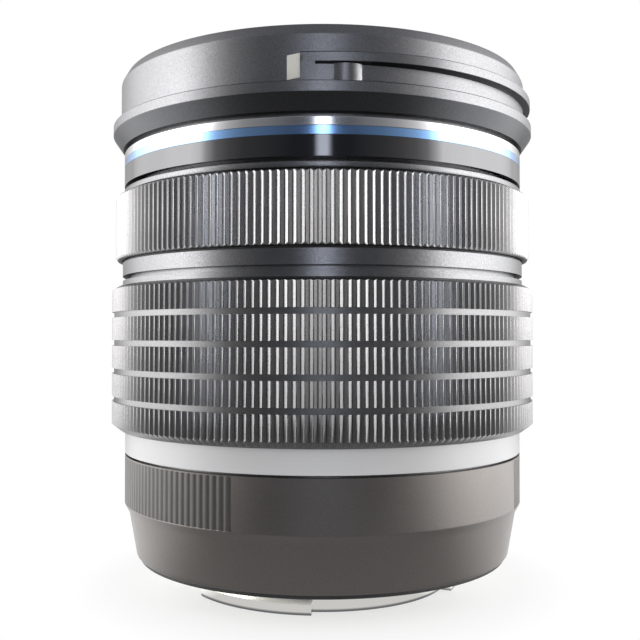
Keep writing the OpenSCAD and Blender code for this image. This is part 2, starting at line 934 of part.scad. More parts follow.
module front_followers() {
  color("#c2a35c")
    for (i = [0:follower_count - 1])
      radial_pin(
        follower_r, guide_in + fit_gap, front_out - fit_gap,
        front_follower_angle + i * 360 / follower_count, front_follower_z
      );
}

module trim_ring() {
  color("#0d0d0f") tube(rim_r, trim_in, trim_z, accent_z);
}

module accent_ring() {
  color("#1f4fa8") tube(rim_r, trim_in, accent_z, rim_z);
}

module rim_ring() {
  color("#d4d6d8") tube(rim_r, trim_in, rim_z, front_ring_z);
}

module rail_outline() {
  polygon([
    [band_r - rail_root, rail_z], [band_r + rail_reach, rail_z],
    [band_r + rail_reach, rail_top - rail_edge], [band_r - rail_root, rail_top]
  ]);
}

module hood_bayonet_ring() {
  color("#222326")
    difference() {
      union() {
        rotate_extrude()
          polygon([
            [trim_in, front_ring_z], [neck_r, front_ring_z], [neck_r, neck_z], [ring_r, neck_z],
            [lip_r, lip_z], [lip_r, track_z - lip_shoulder_h], [band_r, track_z],
            [band_r, brow_z], [band_r - brow_chamfer_w, front_z], [thread_r, front_z], [thread_r, thread_z],
            [relief_r, thread_z], [relief_r, name_z], [clamp_in, name_z], [clamp_in, clamp_z],
            [trim_in, clamp_z]
          ]);
        for (side = [0, 180]) {
          rotate([0, 0, rail_angle + side])
            rotate_extrude(angle = rail_span)
              rail_outline();
          tube_sector(
            band_r + rail_reach - stop_inset, band_r - rail_root, lip_z + stop_drop, rail_z + stop_lap,
            rail_angle + side + stop_lap, stop_span
          );
          rotate([0, 0, side])
            at_angles(detent_angles, band_r - detent_sunk)
              translate([0, 0, lip_z + 2 * stop_drop])
                cylinder(r = detent_r, h = rail_z - lip_z - 2 * stop_drop + stop_lap, $fn = 32);
        }
      }
      rotate([0, 0, index_angle])
        index_bar(fit_gap);
    }
}

// The index bar and, grown by a margin, its pocket
module index_bar(margin) {
  translate([band_r - index_t - margin, -index_w / 2 - margin, track_z - margin])
    cube([index_t + fit_gap + margin * 2, index_w + 2 * margin, index_h + 2 * margin]);
}

module hood_index_mark() {
  color("#ece9e0") rotate([0, 0, index_angle]) index_bar(0);
}

module front_cell() {
  flange_r = front_out - fit_gap;
  color("#19191b")
    rotate_extrude()
      polygon([
        [second_glass_r + cell_gap, cell_bottom], [front_cell_r, cell_bottom],
        [front_cell_r, front_barrel_top], [flange_r, front_barrel_top], [flange_r, clamp_z],
        [front_glass_r + cell_gap, clamp_z],
        [front_glass_r + cell_gap, front_seat_z], [second_glass_r - cell_lip, front_seat_z],
        [second_glass_r - cell_lip, second_ledge_z], [second_glass_r + cell_gap, second_ledge_z]
      ]);
}

module front_element() {
  color("#8fb0bd") lens(front_glass_r, front_seat_z, front_seat_z + front_edge_t, front_bulges);
}

module second_element() {
  color("#8fb0bd") lens(second_glass_r, cell_bottom, second_ledge_z, second_bulges);
}

module name_ring() {
  color("#131315")
    rotate_extrude()
      polygon([
        [name_in, name_z], [name_out, name_z], [name_out, name_z + name_rise],
        [name_out - name_edge, name_z + name_rise], [name_in, name_z + name_t]
      ]);
}

// Carriage with the iris and the focus cell

module at_angles(angles, radius) {
  for (a = angles)
    rotate([0, 0, a])
      translate([radius, 0, 0])
        children();
}

module carriage() {
  variator_bore = variator_r + cell_gap;
  color("#2d2d31")
    difference() {
      union() {
        tube(carriage_out, carriage_in, carriage_z, carriage_top);
        tube(carriage_in + cut, variator_bore - cell_lip, bulkhead_z, iris_z);
        tube(carriage_in + cut, foot_ring_in, carriage_z, carriage_z + foot_ring_t);
        tube(variator_bore + variator_wall, variator_bore, bulkhead_z - variator_tube_h, bulkhead_z + cut);
      }
      translate([0, 0, iris_cover_z])
        cylinder(r = carriage_in + carriage_t / 2, h = carriage_top);
      for (i = [0:follower_count - 1])
        radial_pin(
          follower_r + fit_gap, carriage_in - cut, carriage_out + cut,
          carriage_follower_angle + i * 360 / follower_count, carriage_follower_z
        );
      at_angles(rod_angles, rod_circle_r)
        translate([0, 0, carriage_z - cut])
          cylinder(r = rod_r + fit_gap, h = rod_top - carriage_z + cut, $fn = 24);
    }
}

module carriage_followers() {
  color("#c2a35c")
    for (i = [0:follower_count - 1])
      radial_pin(
        follower_r, carriage_in, cam_out - fit_gap,
        carriage_follower_angle + i * 360 / follower_count, carriage_follower_z
      );
}

module variator_element() {
  color("#9fb6c4")
    lens(variator_r, bulkhead_z - variator_edge_t, bulkhead_z, variator_bulges);
}

module guide_rods() {
  color("#d0d2d4")
    at_angles(rod_angles, rod_circle_r)
      translate([0, 0, carriage_z])
        cylinder(r = rod_r, h = rod_top - carriage_z, $fn = 24);
}

module focus_magnets() {
  color("#77797c")
    at_angles(magnet_angles, magnet_circle_r)
      translate([0, -magnet_w / 2, bulkhead_z - magnet_h])
        cube([magnet_t, magnet_w, magnet_h]);
}

module iris_motor() {
  color("#8a8d90")
    at_angles([motor_angle], motor_circle_r)
      translate([0, 0, bulkhead_z - motor_h])
        cylinder(r = motor_r, h = motor_h, $fn = 32);
}

module focus_cell() {
  bore_r = focus_glass_r + cell_gap;
  wall_r = bore_r + focus_wall;
  color("#2d2d31")
    difference() {
      union() {
        tube(wall_r, bore_r, focus_cell_z, focus_cell_z + focus_cell_h);
        tube(bore_r + cut, bore_r - cell_lip, focus_cell_z, focus_cell_z + focus_ledge_t);
        at_angles(rod_angles, rod_circle_r)
          translate([0, 0, focus_cell_z])
            cylinder(r = focus_ear_r, h = focus_cell_h, $fn = 32);
        at_angles(rod_angles, wall_r - cut)
          translate([0, -focus_arm_w / 2, focus_cell_z])
            cube([rod_circle_r - rod_r - wall_r, focus_arm_w, focus_cell_h]);
        at_angles(magnet_angles, wall_r - cut)
          translate([0, -coil_w / 2, focus_cell_z])
            cube([coil_circle_r - wall_r + cut, coil_w, focus_tongue_t]);
      }
      at_angles(rod_angles, rod_circle_r)
        translate([0, 0, focus_cell_z - cut])
          cylinder(r = rod_r + fit_gap, h = focus_cell_h + 2 * cut, $fn = 24);
    }
}

module focus_element() {
  color("#9fb6c4")
    lens(focus_glass_r, focus_cell_z + focus_ledge_t, focus_cell_z + focus_cell_h, focus_bulges);
}

module focus_coils() {
  color("#b4713a")
    at_angles(magnet_angles, coil_circle_r)
      translate([0, -coil_w / 2, focus_cell_z])
        difference() {
          cube([coil_t, coil_w, coil_h]);
          translate([-cut, coil_side, coil_side])
            cube([coil_t + 2 * cut, coil_w - 2 * coil_side, coil_h - 2 * coil_side]);
        }
}

function blade_angle(i) = i * 360 / blade_count;

module iris_base() {
  color("#3a3b3f")
    difference() {
      rotate_extrude()
        polygon([
          [stop_r, iris_z], [iris_rim_r, iris_z], [iris_rim_r, iris_cover_z],
          [iris_ring_out + run_gap, iris_cover_z], [iris_ring_out + run_gap, iris_ring_z - run_gap],
          [iris_ring_out - iris_step, iris_ring_z - run_gap],
          [iris_ring_out - iris_step, iris_z + iris_base_t], [stop_r, iris_z + iris_base_t]
        ]);
      for (i = [0:blade_count - 1])
        rotate([0, 0, blade_angle(i)])
          translate([pivot_r, 0, iris_z + pin_floor])
            cylinder(r = blade_pin_r + fit_gap, h = iris_base_t, $fn = 24);
    }
}

module iris_ring() {
  slot_w = 2 * (blade_pin_r + pin_play);
  color("#6d7074")
    difference() {
      tube(iris_ring_out, iris_ring_out - iris_ring_w, iris_ring_z, iris_ring_z + iris_ring_t);
      for (i = [0:blade_count - 1])
        rotate([0, 0, blade_angle(i) - drive_start])
          translate([drive_r - drive_slot_l / 2, -slot_w / 2, iris_ring_z - cut])
            cube([drive_slot_l, slot_w, iris_ring_t + 2 * cut]);
    }
}

module iris_cover() {
  color("#3a3b3f")
    tube(carriage_in + carriage_t / 2 - fit_gap, cover_stop_r, iris_cover_z, iris_cover_z + iris_cover_t);
}

// Outline of a blade with its pivot on the X axis, open
module blade_outline() {
  difference() {
    circle(r = blade_out);
    circle(r = blade_in);
    translate([-2 * blade_out, -4 * blade_out]) square([4 * blade_out, 4 * blade_out]);
    rotate([0, 0, blade_arc]) translate([-2 * blade_out, 0]) square([4 * blade_out, 4 * blade_out]);
  }
  translate([pivot_r - blade_neck_l, 0])
    square([blade_neck_l, blade_neck_l]);
  translate([pivot_r, 0]) {
    circle(r = pivot_boss_r, $fn = 32);
    rotate([0, 0, -blade_turn / 2]) {
      translate([0, -blade_arm_w / 2]) square([drive_arm, blade_arm_w]);
      translate([drive_arm, 0]) circle(r = drive_boss_r, $fn = 32);
    }
  }
}

module iris_blade(i) {
  z = blade_z + i * blade_step;
  foot_z = iris_z + pin_floor + pin_clear;
  color("#4a4c50")
    rotate([0, 0, blade_angle(i)])
      union() {
        translate([0, 0, z]) linear_extrude(blade_t) blade_outline();
        translate([pivot_r, 0, foot_z])
          cylinder(r = blade_pin_r, h = z + blade_t / 2 - foot_z, $fn = 24);
        translate([pivot_r, 0, 0])
          rotate([0, 0, -blade_turn / 2])
            translate([drive_arm, 0, z + blade_t / 2])
              cylinder(r = blade_pin_r, h = iris_ring_z + iris_ring_t - z - blade_t / 2, $fn = 24);
      }
}

module iris_blade_1() { iris_blade(0); }
module iris_blade_2() { iris_blade(1); }
module iris_blade_3() { iris_blade(2); }
module iris_blade_4() { iris_blade(3); }
module iris_blade_5() { iris_blade(4); }
module iris_blade_6() { iris_blade(5); }
module iris_blade_7() { iris_blade(6); }

bayonet_mount();
mount_screws();
mount_seal();
mount_dot();
contact_block();
contact_pins();
rear_baffle();
rear_cell();
rear_element();
base_shell();
main_board();
guide_barrel();
mid_barrel();
focus_slip_ring();
focus_sensor();
zoom_encoder();
barrel_seal();
focus_retainer();
zoom_ring();
zoom_grip();
zoom_scale_ring();
zoom_key();
cam_barrel();
focus_ring();
focus_grip();
front_barrel();
front_followers();
trim_ring();
accent_ring();
rim_ring();
hood_bayonet_ring();
hood_index_mark();
front_cell();
front_element();
second_element();
name_ring();
carriage();
carriage_followers();
variator_element();
iris_base();
iris_cover();
iris_motor();
guide_rods();
focus_magnets();
focus_cell();
focus_element();
focus_coils();
iris_ring();
iris_blade_1();
iris_blade_2();
iris_blade_3();
iris_blade_4();
iris_blade_5();
iris_blade_6();
iris_blade_7();
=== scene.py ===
import json
import math

import bmesh
import bpy
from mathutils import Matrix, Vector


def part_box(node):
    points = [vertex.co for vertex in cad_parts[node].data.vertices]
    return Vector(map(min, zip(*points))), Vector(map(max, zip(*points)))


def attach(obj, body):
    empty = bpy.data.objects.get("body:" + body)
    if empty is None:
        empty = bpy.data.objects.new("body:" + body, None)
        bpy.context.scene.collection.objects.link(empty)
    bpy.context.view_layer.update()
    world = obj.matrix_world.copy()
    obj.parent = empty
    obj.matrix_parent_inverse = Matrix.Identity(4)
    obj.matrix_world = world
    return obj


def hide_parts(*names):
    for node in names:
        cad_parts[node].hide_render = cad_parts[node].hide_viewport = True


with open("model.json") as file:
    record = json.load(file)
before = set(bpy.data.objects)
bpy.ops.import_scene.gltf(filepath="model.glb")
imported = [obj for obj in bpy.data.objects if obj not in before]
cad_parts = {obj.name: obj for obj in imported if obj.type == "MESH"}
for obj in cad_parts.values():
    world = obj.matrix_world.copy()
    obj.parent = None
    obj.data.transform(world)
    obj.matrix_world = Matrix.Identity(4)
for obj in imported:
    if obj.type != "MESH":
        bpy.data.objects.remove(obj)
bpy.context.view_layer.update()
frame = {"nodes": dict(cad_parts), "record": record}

MM = 0.001
scene = bpy.context.scene
scene.view_settings.view_transform = "Standard"
nodes = frame["nodes"]


# Sizes from the frame

def ring_box(node):
    """Outer radius, lower height and upper height of a round node."""
    low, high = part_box(node)
    return high[0], low[2], high[2]


mount_r, tube_bottom, mount_top = ring_box("bayonet_mount")
seal_r, seal_bottom, seal_top = ring_box("mount_seal")
base_r, base_bottom, base_top = ring_box("base_shell")
scale_r, scale_bottom, scale_top = ring_box("zoom_scale_ring")
zoom_tip_r, zoom_bottom, zoom_grip_top = ring_box("zoom_grip")
ring_r, _, zoom_top = ring_box("zoom_ring")
focus_tip_r, focus_bottom, focus_top = ring_box("focus_grip")
stop_r, stop_bottom, stop_top = ring_box("focus_retainer")
rim_r, trim_bottom, trim_top = ring_box("trim_ring")
_, accent_bottom, accent_top = ring_box("accent_ring")
_, rim_bottom, rim_top = ring_box("rim_ring")
lip_r, front_bottom, front_top = ring_box("hood_bayonet_ring")
name_r, name_bottom, name_top = ring_box("name_ring")
glass_r, glass_bottom, glass_top = ring_box("front_element")
index_low, index_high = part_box("hood_index_mark")
dot_low, dot_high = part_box("mount_dot")
pins_low, pins_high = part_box("contact_pins")
screws_low, screws_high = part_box("mount_screws")
threads = {m["name"]: m for m in frame["record"]["mounts"]}
thread_r = threads["filter_thread"]["dims"]["r_mm"] * MM
thread_l = threads["filter_thread"]["dims"]["length_mm"] * MM


# Mesh tools

CORNER_SHARE = 0.4
TINY = 1e-9
RING_SIDES = 240
DISC_SIDES = 160
BEVEL_TURN = 35
BEVEL_STEPS = 2


def polar(radius, angle, height):
    return radius * math.cos(angle), radius * math.sin(angle), height


def circle(count):
    """Directions of a full turn in equal steps."""
    return [2 * math.pi * i / count for i in range(count)]


def soften(profile, radius, steps=2):
    """Rounds the corners of a closed outline of (radius, height) points."""
    out = []
    count = len(profile)
    for i, (x, y) in enumerate(profile):
        before, after = profile[i - 1], profile[(i + 1) % count]
        ends = []
        for px, py in (before, after):
            length = math.hypot(px - x, py - y)
            reach = min(radius, CORNER_SHARE * length) / max(length, TINY)
            ends.append((x + (px - x) * reach, y + (py - y) * reach))
        (start_x, start_y), (end_x, end_y) = ends
        for s in range(steps + 1):
            t = s / steps
            a, b, c = (1 - t) ** 2, 2 * t * (1 - t), t * t
            out.append((a * start_x + b * x + c * end_x, a * start_y + b * y + c * end_y))
    return out


def sweep(bm, sections, closed=True):
    """Joins sections, each a closed loop of points, into a ring or a capped bar."""
    loops = [[bm.verts.new(p) for p in section] for section in sections]
    count = len(loops)
    for i in range(count if closed else count - 1):
        a, b = loops[i], loops[(i + 1) % count]
        for j in range(len(a)):
            k = (j + 1) % len(a)
            bm.faces.new((a[j], b[j], b[k], a[k]))
    if not closed:
        bm.faces.new(loops[0])
        bm.faces.new(loops[-1][::-1])


def lathe(bm, profile, segments=RING_SIDES):
    sweep(bm, [[polar(r, a, z) for r, z in profile] for a in circle(segments)])


def arc_bar(bm, outline_at, start, end, steps):
    """Bar along part of a circle, angles in degrees; its outline depends on the share of the way."""
    sections = []
    for i in range(steps + 1):
        t = i / steps
        angle = math.radians(start + (end - start) * t)
        sections.append([polar(r, angle, z) for r, z in outline_at(t)])
    sweep(bm, sections, closed=False)


def stack(bm, loops):
    """Joins loops of vertices, one after the other, with side faces."""
    for a, b in zip(loops, loops[1:]):
        for i in range(len(a)):
            k = (i + 1) % len(a)
            bm.faces.new((a[i], a[k], b[k], b[i]))


def disc(bm, top, bottom):
    """Solid of revolution whose outline starts and ends on the axis."""
    outline = top[::-1] + bottom[::-1]
    rings = [[bm.verts.new(polar(r, a, z)) for a in circle(DISC_SIDES)] for r, z in outline]
    stack(bm, rings)
    for loop, height in ((rings[0], top[-1][1]), (rings[-1], bottom[0][1])):
        tip = bm.verts.new((0, 0, height))
        for i in range(DISC_SIDES):
            bm.faces.new((loop[i], loop[(i + 1) % DISC_SIDES], tip))


def piece(name, bm, material, body, replaces=(), sharp=40):
    """Turns a bmesh into a finished piece that rides on a body."""
    bmesh.ops.recalc_face_normals(bm, faces=bm.faces)
    mesh = bpy.data.meshes.new(name)
    bm.to_mesh(mesh)
    bm.free()
    obj = bpy.data.objects.new(name, mesh)
    scene.collection.objects.link(obj)
    mesh.materials.append(material)
    mesh.shade_smooth()
    mesh.set_sharp_from_angle(angle=math.radians(sharp))
    add_weighted_normals(obj)
    if replaces:
        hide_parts(*replaces)
    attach(obj, body)
    return obj


def add_weighted_normals(obj):
    weighted = obj.modifiers.new("even_normals", "WEIGHTED_NORMAL")
    weighted.keep_sharp = True


def add_bevel(obj, width):
    edge = obj.modifiers.new("soft_edges", "BEVEL")
    edge.width = width
    edge.segments = BEVEL_STEPS
    edge.limit_method = "ANGLE"
    edge.angle_limit = math.radians(BEVEL_TURN)
    edge.use_clamp_overlap = True
    add_weighted_normals(obj)


# Shader tools

def group(name, inputs, outputs):
    """Starts a shader node group with named value sockets."""
    tree = bpy.data.node_groups.new(name, "ShaderNodeTree")
    for label, value in inputs:
        socket = tree.interface.new_socket(label, in_out="INPUT", socket_type="NodeSocketFloat")
        socket.default_value = value
    for label in outputs:
        tree.interface.new_socket(label, in_out="OUTPUT", socket_type="NodeSocketFloat")
    source = tree.nodes.new("NodeGroupInput")
    sink = tree.nodes.new("NodeGroupOutput")
    return tree, source.outputs, sink.inputs


def node(tree, kind, links=(), **settings):
    """Adds a node, sets its properties and links or sets its inputs."""
    made = tree.nodes.new(kind)
    for key, value in settings.items():
        setattr(made, key, value)
    for key, value in dict(links).items():
        socket = made.inputs[key]
        if isinstance(value, bpy.types.NodeSocket):
            tree.links.new(value, socket)
        else:
            socket.default_value = value
    return made


def math_node(tree, operation, a, b=0.0, c=0.0):
    made = node(tree, "ShaderNodeMath", {0: a, 1: b, 2: c}, operation=operation)
    return made.outputs[0]


def map_range(tree, value, from_low, from_high, to_low=0.0, to_high=1.0):
    """Straight line from one range to another, held at its ends."""
    made = node(tree, "ShaderNodeMapRange", {
        "Value": value, "From Min": from_low, "From Max": from_high, "To Min": to_low, "To Max": to_high
    })
    return made.outputs[0]


def cloud(tree, where, scale, detail, roughness):
    """Noise between 0 and 1."""
    made = node(tree, "ShaderNodeTexNoise", {
        "Vector": where, "Scale": scale, "Detail": detail, "Roughness": roughness
    })
    return made.outputs["Fac"]


def object_position(tree):
    return node(tree, "ShaderNodeTexCoord").outputs["Object"]


def along_axes(tree, vector):
    return node(tree, "ShaderNodeSeparateXYZ", {0: vector}).outputs


def vector_length(tree, vector):
    return node(tree, "ShaderNodeVectorMath", {0: vector}, operation="LENGTH").outputs["Value"]


def make_fine_grain():
    """Bead-blasted grain of anodised metal and moulded plastic."""
    tree, given, out = group("fine_grain", [("Scale", 6000.0), ("Depth", 1.0)], ["Height", "Mask"])
    grains = cloud(tree, object_position(tree), given["Scale"], detail=3.0, roughness=0.6)
    tree.links.new(math_node(tree, "MULTIPLY", grains, given["Depth"]), out["Height"])
    tree.links.new(grains, out["Mask"])
    return tree


def make_handling():
    """Broad uneven shine from handling."""
    inputs = [("Scale", 60.0), ("Low", 0.3), ("High", 0.42)]
    tree, given, out = group("handling_marks", inputs, ["Roughness", "Mask"])
    marks = cloud(tree, object_position(tree), given["Scale"], detail=4.0, roughness=0.65)
    shine = map_range(tree, marks, 0.3, 0.7, given["Low"], given["High"])
    tree.links.new(shine, out["Roughness"])
    tree.links.new(marks, out["Mask"])
    return tree


def make_dust():
    """Sparse specks of dust."""
    tree, given, out = group("dust_specks", [("Scale", 900.0), ("Size", 0.09), ("Share", 0.02)], ["Mask"])
    where = object_position(tree)
    cells = node(tree, "ShaderNodeTexVoronoi", {"Vector": where, "Scale": given["Scale"], "Randomness": 1.0})
    picked = node(tree, "ShaderNodeSeparateColor", {"Color": cells.outputs["Color"]})
    chosen = math_node(tree, "LESS_THAN", picked.outputs[0], given["Share"])
    near = math_node(tree, "LESS_THAN", cells.outputs["Distance"], given["Size"])
    tree.links.new(math_node(tree, "MULTIPLY", chosen, near), out["Mask"])
    return tree


def make_turned():
    """Fine lines left by the lathe, round the axis."""
    tree, given, out = group("turned_lines", [("Pitch", 9000.0), ("Depth", 1.0)], ["Height", "Mask"])
    where = along_axes(tree, object_position(tree))
    across = node(tree, "ShaderNodeCombineXYZ", {0: where[0], 1: where[1]}).outputs[0]
    radius = vector_length(tree, across)
    along = node(tree, "ShaderNodeCombineXYZ", {0: where[2], 1: radius}).outputs[0]
    lines = cloud(tree, along, given["Pitch"], detail=2.0, roughness=0.7)
    tree.links.new(math_node(tree, "MULTIPLY", lines, given["Depth"]), out["Height"])
    tree.links.new(lines, out["Mask"])
    return tree


def make_height_band():
    """Mask that goes from 0 to 1 between two heights."""
    tree, given, out = group("height_band", [("Low", 0.0), ("High", 1.0)], ["Mask"])
    height = along_axes(tree, object_position(tree))[2]
    tree.links.new(map_range(tree, height, given["Low"], given["High"]), out["Mask"])
    return tree


fine_grain = make_fine_grain()
handling_marks = make_handling()
dust_specks = make_dust()
turned_lines = make_turned()
height_band = make_height_band()


def use(tree, effect, **values):
    """Places an effect in a material with its own values."""
    made = tree.nodes.new("ShaderNodeGroup")
    made.node_tree = effect
    for key, value in values.items():
        made.inputs[key].default_value = value
    return made.outputs


def principled(name, color, metallic=0.0, roughness=0.4):
    """Starts a material and sets what is the same all over on the shader's own sockets."""
    material = bpy.data.materials.new(name)
    material.use_nodes = True
    tree = material.node_tree
    shader = tree.nodes["Principled BSDF"]
    shader.inputs["Base Color"].default_value = (*color, 1.0)
    shader.inputs["Metallic"].default_value = metallic
    shader.inputs["Roughness"].default_value = roughness
    return material, tree, shader


def bump(tree, shader, height, distance):
    made = node(tree, "ShaderNodeBump", {"Height": height, "Distance": distance, "Strength": 1.0})
    tree.links.new(made.outputs[0], shader.inputs["Normal"])


def uneven_shine(tree, shader, low, high, scale=60.0):
    shine = use(tree, handling_marks, Scale=scale, Low=low, High=high)
    tree.links.new(shine["Roughness"], shader.inputs["Roughness"])


def shade(color, share):
    """The colour made darker or lighter by a share."""
    return tuple(min(1.0, c * share) for c in color)


def blend_color(tree, mask, low, high):
    """Colour that goes from low to high with a mask; each is a colour or a socket."""
    mix = tree.nodes.new("ShaderNodeMix")
    mix.data_type = "RGBA"
    tree.links.new(mask, mix.inputs["Factor"])
    for key, value in (("A", low), ("B", high)):
        socket = [s for s in mix.inputs if s.name == key and s.type == "RGBA"][0]
        if isinstance(value, bpy.types.NodeSocket):
            tree.links.new(value, socket)
        else:
            socket.default_value = (*value, 1.0)
    return [s for s in mix.outputs if s.type == "RGBA"][0]


# Finishes

DUST_COLOR = (0.16, 0.16, 0.15)
TURNED_DARK = 0.93
TURNED_LIGHT = 1.05
MOULDED_DARK = 0.75
MOULDED_LIGHT = 1.25
PAINT_DARK = 0.85
PAINT_DEPTH = 0.004
GLASS_IOR = 1.52
GLASS_WIPES = 220.0
GLASS_ROUGH = 0.03
# Heights over which the painted shade at the mount's rear edge fades into the bright chrome
CHROME_SHADE_LOW = tube_bottom + 0.2 * MM
CHROME_SHADE_HIGH = tube_bottom + 0.45 * MM


def black_metal(name, color, metallic, low, high, grain=6000.0, depth=0.004, dust=0.02, sparkle=1.6):
    """Satin black metal: grain, uneven shine and a little dust."""
    material, tree, shader = principled(name, color, metallic, low)
    grains = use(tree, fine_grain, Scale=grain)
    base = blend_color(tree, grains["Mask"], shade(color, 1 / sparkle), shade(color, sparkle))
    specks = use(tree, dust_specks, Share=dust)
    tree.links.new(blend_color(tree, specks["Mask"], base, DUST_COLOR), shader.inputs["Base Color"])
    uneven_shine(tree, shader, low, high)
    bump(tree, shader, grains["Height"], depth * MM)
    return material


def turned_metal(name, color, low, high, pitch=9000.0, depth=0.001, metallic=1.0):
    """Bright metal with lathe lines."""
    material, tree, shader = principled(name, color, metallic, low)
    lines = use(tree, turned_lines, Pitch=pitch)
    tone = blend_color(tree, lines["Mask"], shade(color, TURNED_DARK), shade(color, TURNED_LIGHT))
    tree.links.new(tone, shader.inputs["Base Color"])
    uneven_shine(tree, shader, low, high)
    bump(tree, shader, lines["Height"], depth * MM)
    return material


def chrome_with_painted_shade(name, color, edge_shade_color):
    """Polished metal with painted shade along its rear edge: the colour turns dark below a height."""
    material = turned_metal(name, color, 0.10, 0.18, pitch=7000.0)
    tree = material.node_tree
    socket = tree.nodes["Principled BSDF"].inputs["Base Color"]
    bright = socket.links[0].from_socket
    above_shade = use(tree, height_band, Low=CHROME_SHADE_LOW, High=CHROME_SHADE_HIGH)
    tree.links.new(blend_color(tree, above_shade["Mask"], edge_shade_color, bright), socket)
    return material


def moulded(name, color, low=0.45, high=0.6, grain=4000.0, depth=0.006):
    """Matt moulded plastic or rubber."""
    material, tree, shader = principled(name, color, 0.0, low)
    grains = use(tree, fine_grain, Scale=grain)
    tone = blend_color(tree, grains["Mask"], shade(color, MOULDED_DARK), shade(color, MOULDED_LIGHT))
    tree.links.new(tone, shader.inputs["Base Color"])
    uneven_shine(tree, shader, low, high)
    bump(tree, shader, grains["Height"], depth * MM)
    return material


def coated_glass(name, tint, reflection):
    """Clear glass with a coloured coating and faint wiping marks."""
    material, tree, shader = principled(name, tint, 0.0, 0.0)
    shader.inputs["IOR"].default_value = GLASS_IOR
    shader.inputs["Transmission Weight"].default_value = 1.0
    shader.inputs["Specular Tint"].default_value = (*reflection, 1.0)
    uneven_shine(tree, shader, 0.0, GLASS_ROUGH, GLASS_WIPES)
    return material


def painted_mark(name, color):
    material, tree, shader = principled(name, color, 0.0, 0.45)
    grains = use(tree, fine_grain, Scale=2500.0)
    tone = blend_color(tree, grains["Mask"], shade(color, PAINT_DARK), color)
    tree.links.new(tone, shader.inputs["Base Color"])
    bump(tree, shader, grains["Height"], PAINT_DEPTH * MM)
    return material


grip_black = black_metal("grip_black", (0.145, 0.143, 0.145), 1.0, 0.25, 0.30)
focus_black = black_metal("focus_black", (0.168, 0.166, 0.168), 1.0, 0.25, 0.30)
# Darker blacks that paint shade into the groove floors and the gaps between rows
grip_valley_shade = black_metal("grip_valley_shade", (0.055, 0.054, 0.056), 1.0, 0.30, 0.36)
grip_gap_shade = black_metal("grip_gap_shade", (0.115, 0.114, 0.116), 1.0, 0.30, 0.36)
barrel_black = black_metal("barrel_black", (0.100, 0.100, 0.104), 1.0, 0.25, 0.30, depth=0.010, sparkle=2.0)
front_black = black_metal("front_black", (0.112, 0.112, 0.117), 1.0, 0.31, 0.38, depth=0.007, sparkle=1.9)
# Darker black that paints shade on the downward faces of the front ring
underside_shade_black = black_metal("underside_shade_black", (0.050, 0.051, 0.054), 1.0, 0.34, 0.40)
base_black = black_metal("base_black", (0.138, 0.128, 0.122), 1.0, 0.40, 0.48, depth=0.0015, sparkle=1.3)
panel_black = moulded("panel_black", (0.045, 0.041, 0.038), 0.40, 0.48)
trim_gloss = black_metal("trim_gloss", (0.068, 0.068, 0.071), 1.0, 0.05, 0.09,
                         grain=2500.0, depth=0.0004, sparkle=1.05)
scale_silver = turned_metal("scale_silver", (0.58, 0.58, 0.59), 0.36, 0.44, metallic=0.08)
accent_blue = turned_metal("accent_blue", (0.175, 0.315, 0.56), 0.12, 0.18)
rim_bright = turned_metal("rim_bright", (0.50, 0.50, 0.51), 0.10, 0.15)
# The mount's rear edge is darkened with painted shade
mount_chrome = chrome_with_painted_shade("mount_chrome", (0.97, 0.95, 0.91), (0.22, 0.22, 0.23))
alloy_turned = turned_metal("alloy_turned", (0.55, 0.56, 0.58), 0.32, 0.42, pitch=5000.0, depth=0.003)
steel_plain = turned_metal("steel_plain", (0.48, 0.47, 0.45), 0.25, 0.38)
brass_turned = turned_metal("brass_turned", (0.72, 0.54, 0.24), 0.22, 0.34)
contact_gold = turned_metal("contact_gold", (0.83, 0.62, 0.24), 0.15, 0.26)
coil_copper = turned_metal("coil_copper", (0.66, 0.30, 0.13), 0.3, 0.45, pitch=6000.0, depth=0.01)
iris_black = black_metal("iris_black", (0.07, 0.07, 0.075), 0.7, 0.35, 0.5, dust=0.0)
inner_black = moulded("inner_black", (0.014, 0.014, 0.016))
seal_rubber = moulded("seal_rubber", (0.018, 0.018, 0.019), 0.55, 0.7, grain=2500.0)
slip_dark = moulded("slip_dark", (0.03, 0.03, 0.032))
sensor_blue = moulded("sensor_blue", (0.10, 0.11, 0.22))
board_green = moulded("board_green", (0.03, 0.16, 0.07), 0.3, 0.45)
mark_white = painted_mark("mark_white", (0.60, 0.59, 0.55))
mark_black = painted_mark("mark_black", (0.02, 0.02, 0.02))
mark_red = painted_mark("mark_red", (0.62, 0.03, 0.03))
glass_front = coated_glass("glass_front", (0.96, 0.985, 0.98), (0.55, 0.95, 0.72))
glass_inner = coated_glass("glass_inner", (0.95, 0.97, 0.985), (0.85, 0.62, 0.95))


# Ribbed grips. Places across a rib are shares of the pitch.

RIB_COUNT = 192
RIB_HEIGHT = 0.24 * MM
RIB_TOP = 0.05
RIB_FOOT = 0.44
RIB_ROUND = 0.03
RIDGE_REACH = 0.8
RIDGE_DROP = 0.3
FOOT_REACH = 0.4
RIB_SHARP = 55
RIB_END = 0.015 * MM
VALLEY_SHARE = 0.1
ROW_SINK = 0.06 * MM
GRIP_BORE = ring_r + 0.05 * MM


def rib_stations():
    """Places across one rib, each with its share of the height: straight flanks, softened ridge and foot."""
    fall = RIB_ROUND / (RIB_FOOT - RIB_TOP)
    right = [
        (RIB_TOP - RIB_ROUND * RIDGE_REACH, 1.0),
        (RIB_TOP, 1 - RIDGE_DROP * fall),
        (RIB_TOP + RIB_ROUND, 1 - fall),
        (RIB_FOOT - FOOT_REACH * RIB_ROUND, FOOT_REACH * fall),
        (RIB_FOOT + FOOT_REACH * RIB_ROUND, 0.0)
    ]
    left = [(-u, h) for u, h in reversed(right)]
    return left + right


def ribbed_sleeve(bm, profile_at):
    """Sleeve whose outline at each place depends on the height of the rib there."""
    sections = []
    pitch = 2 * math.pi / RIB_COUNT
    for i in range(RIB_COUNT):
        for share, height in rib_stations():
            angle = (i + share) * pitch - math.pi / 2
            sections.append([polar(r, angle, z) for r, z in profile_at(height)])
    sweep(bm, sections)


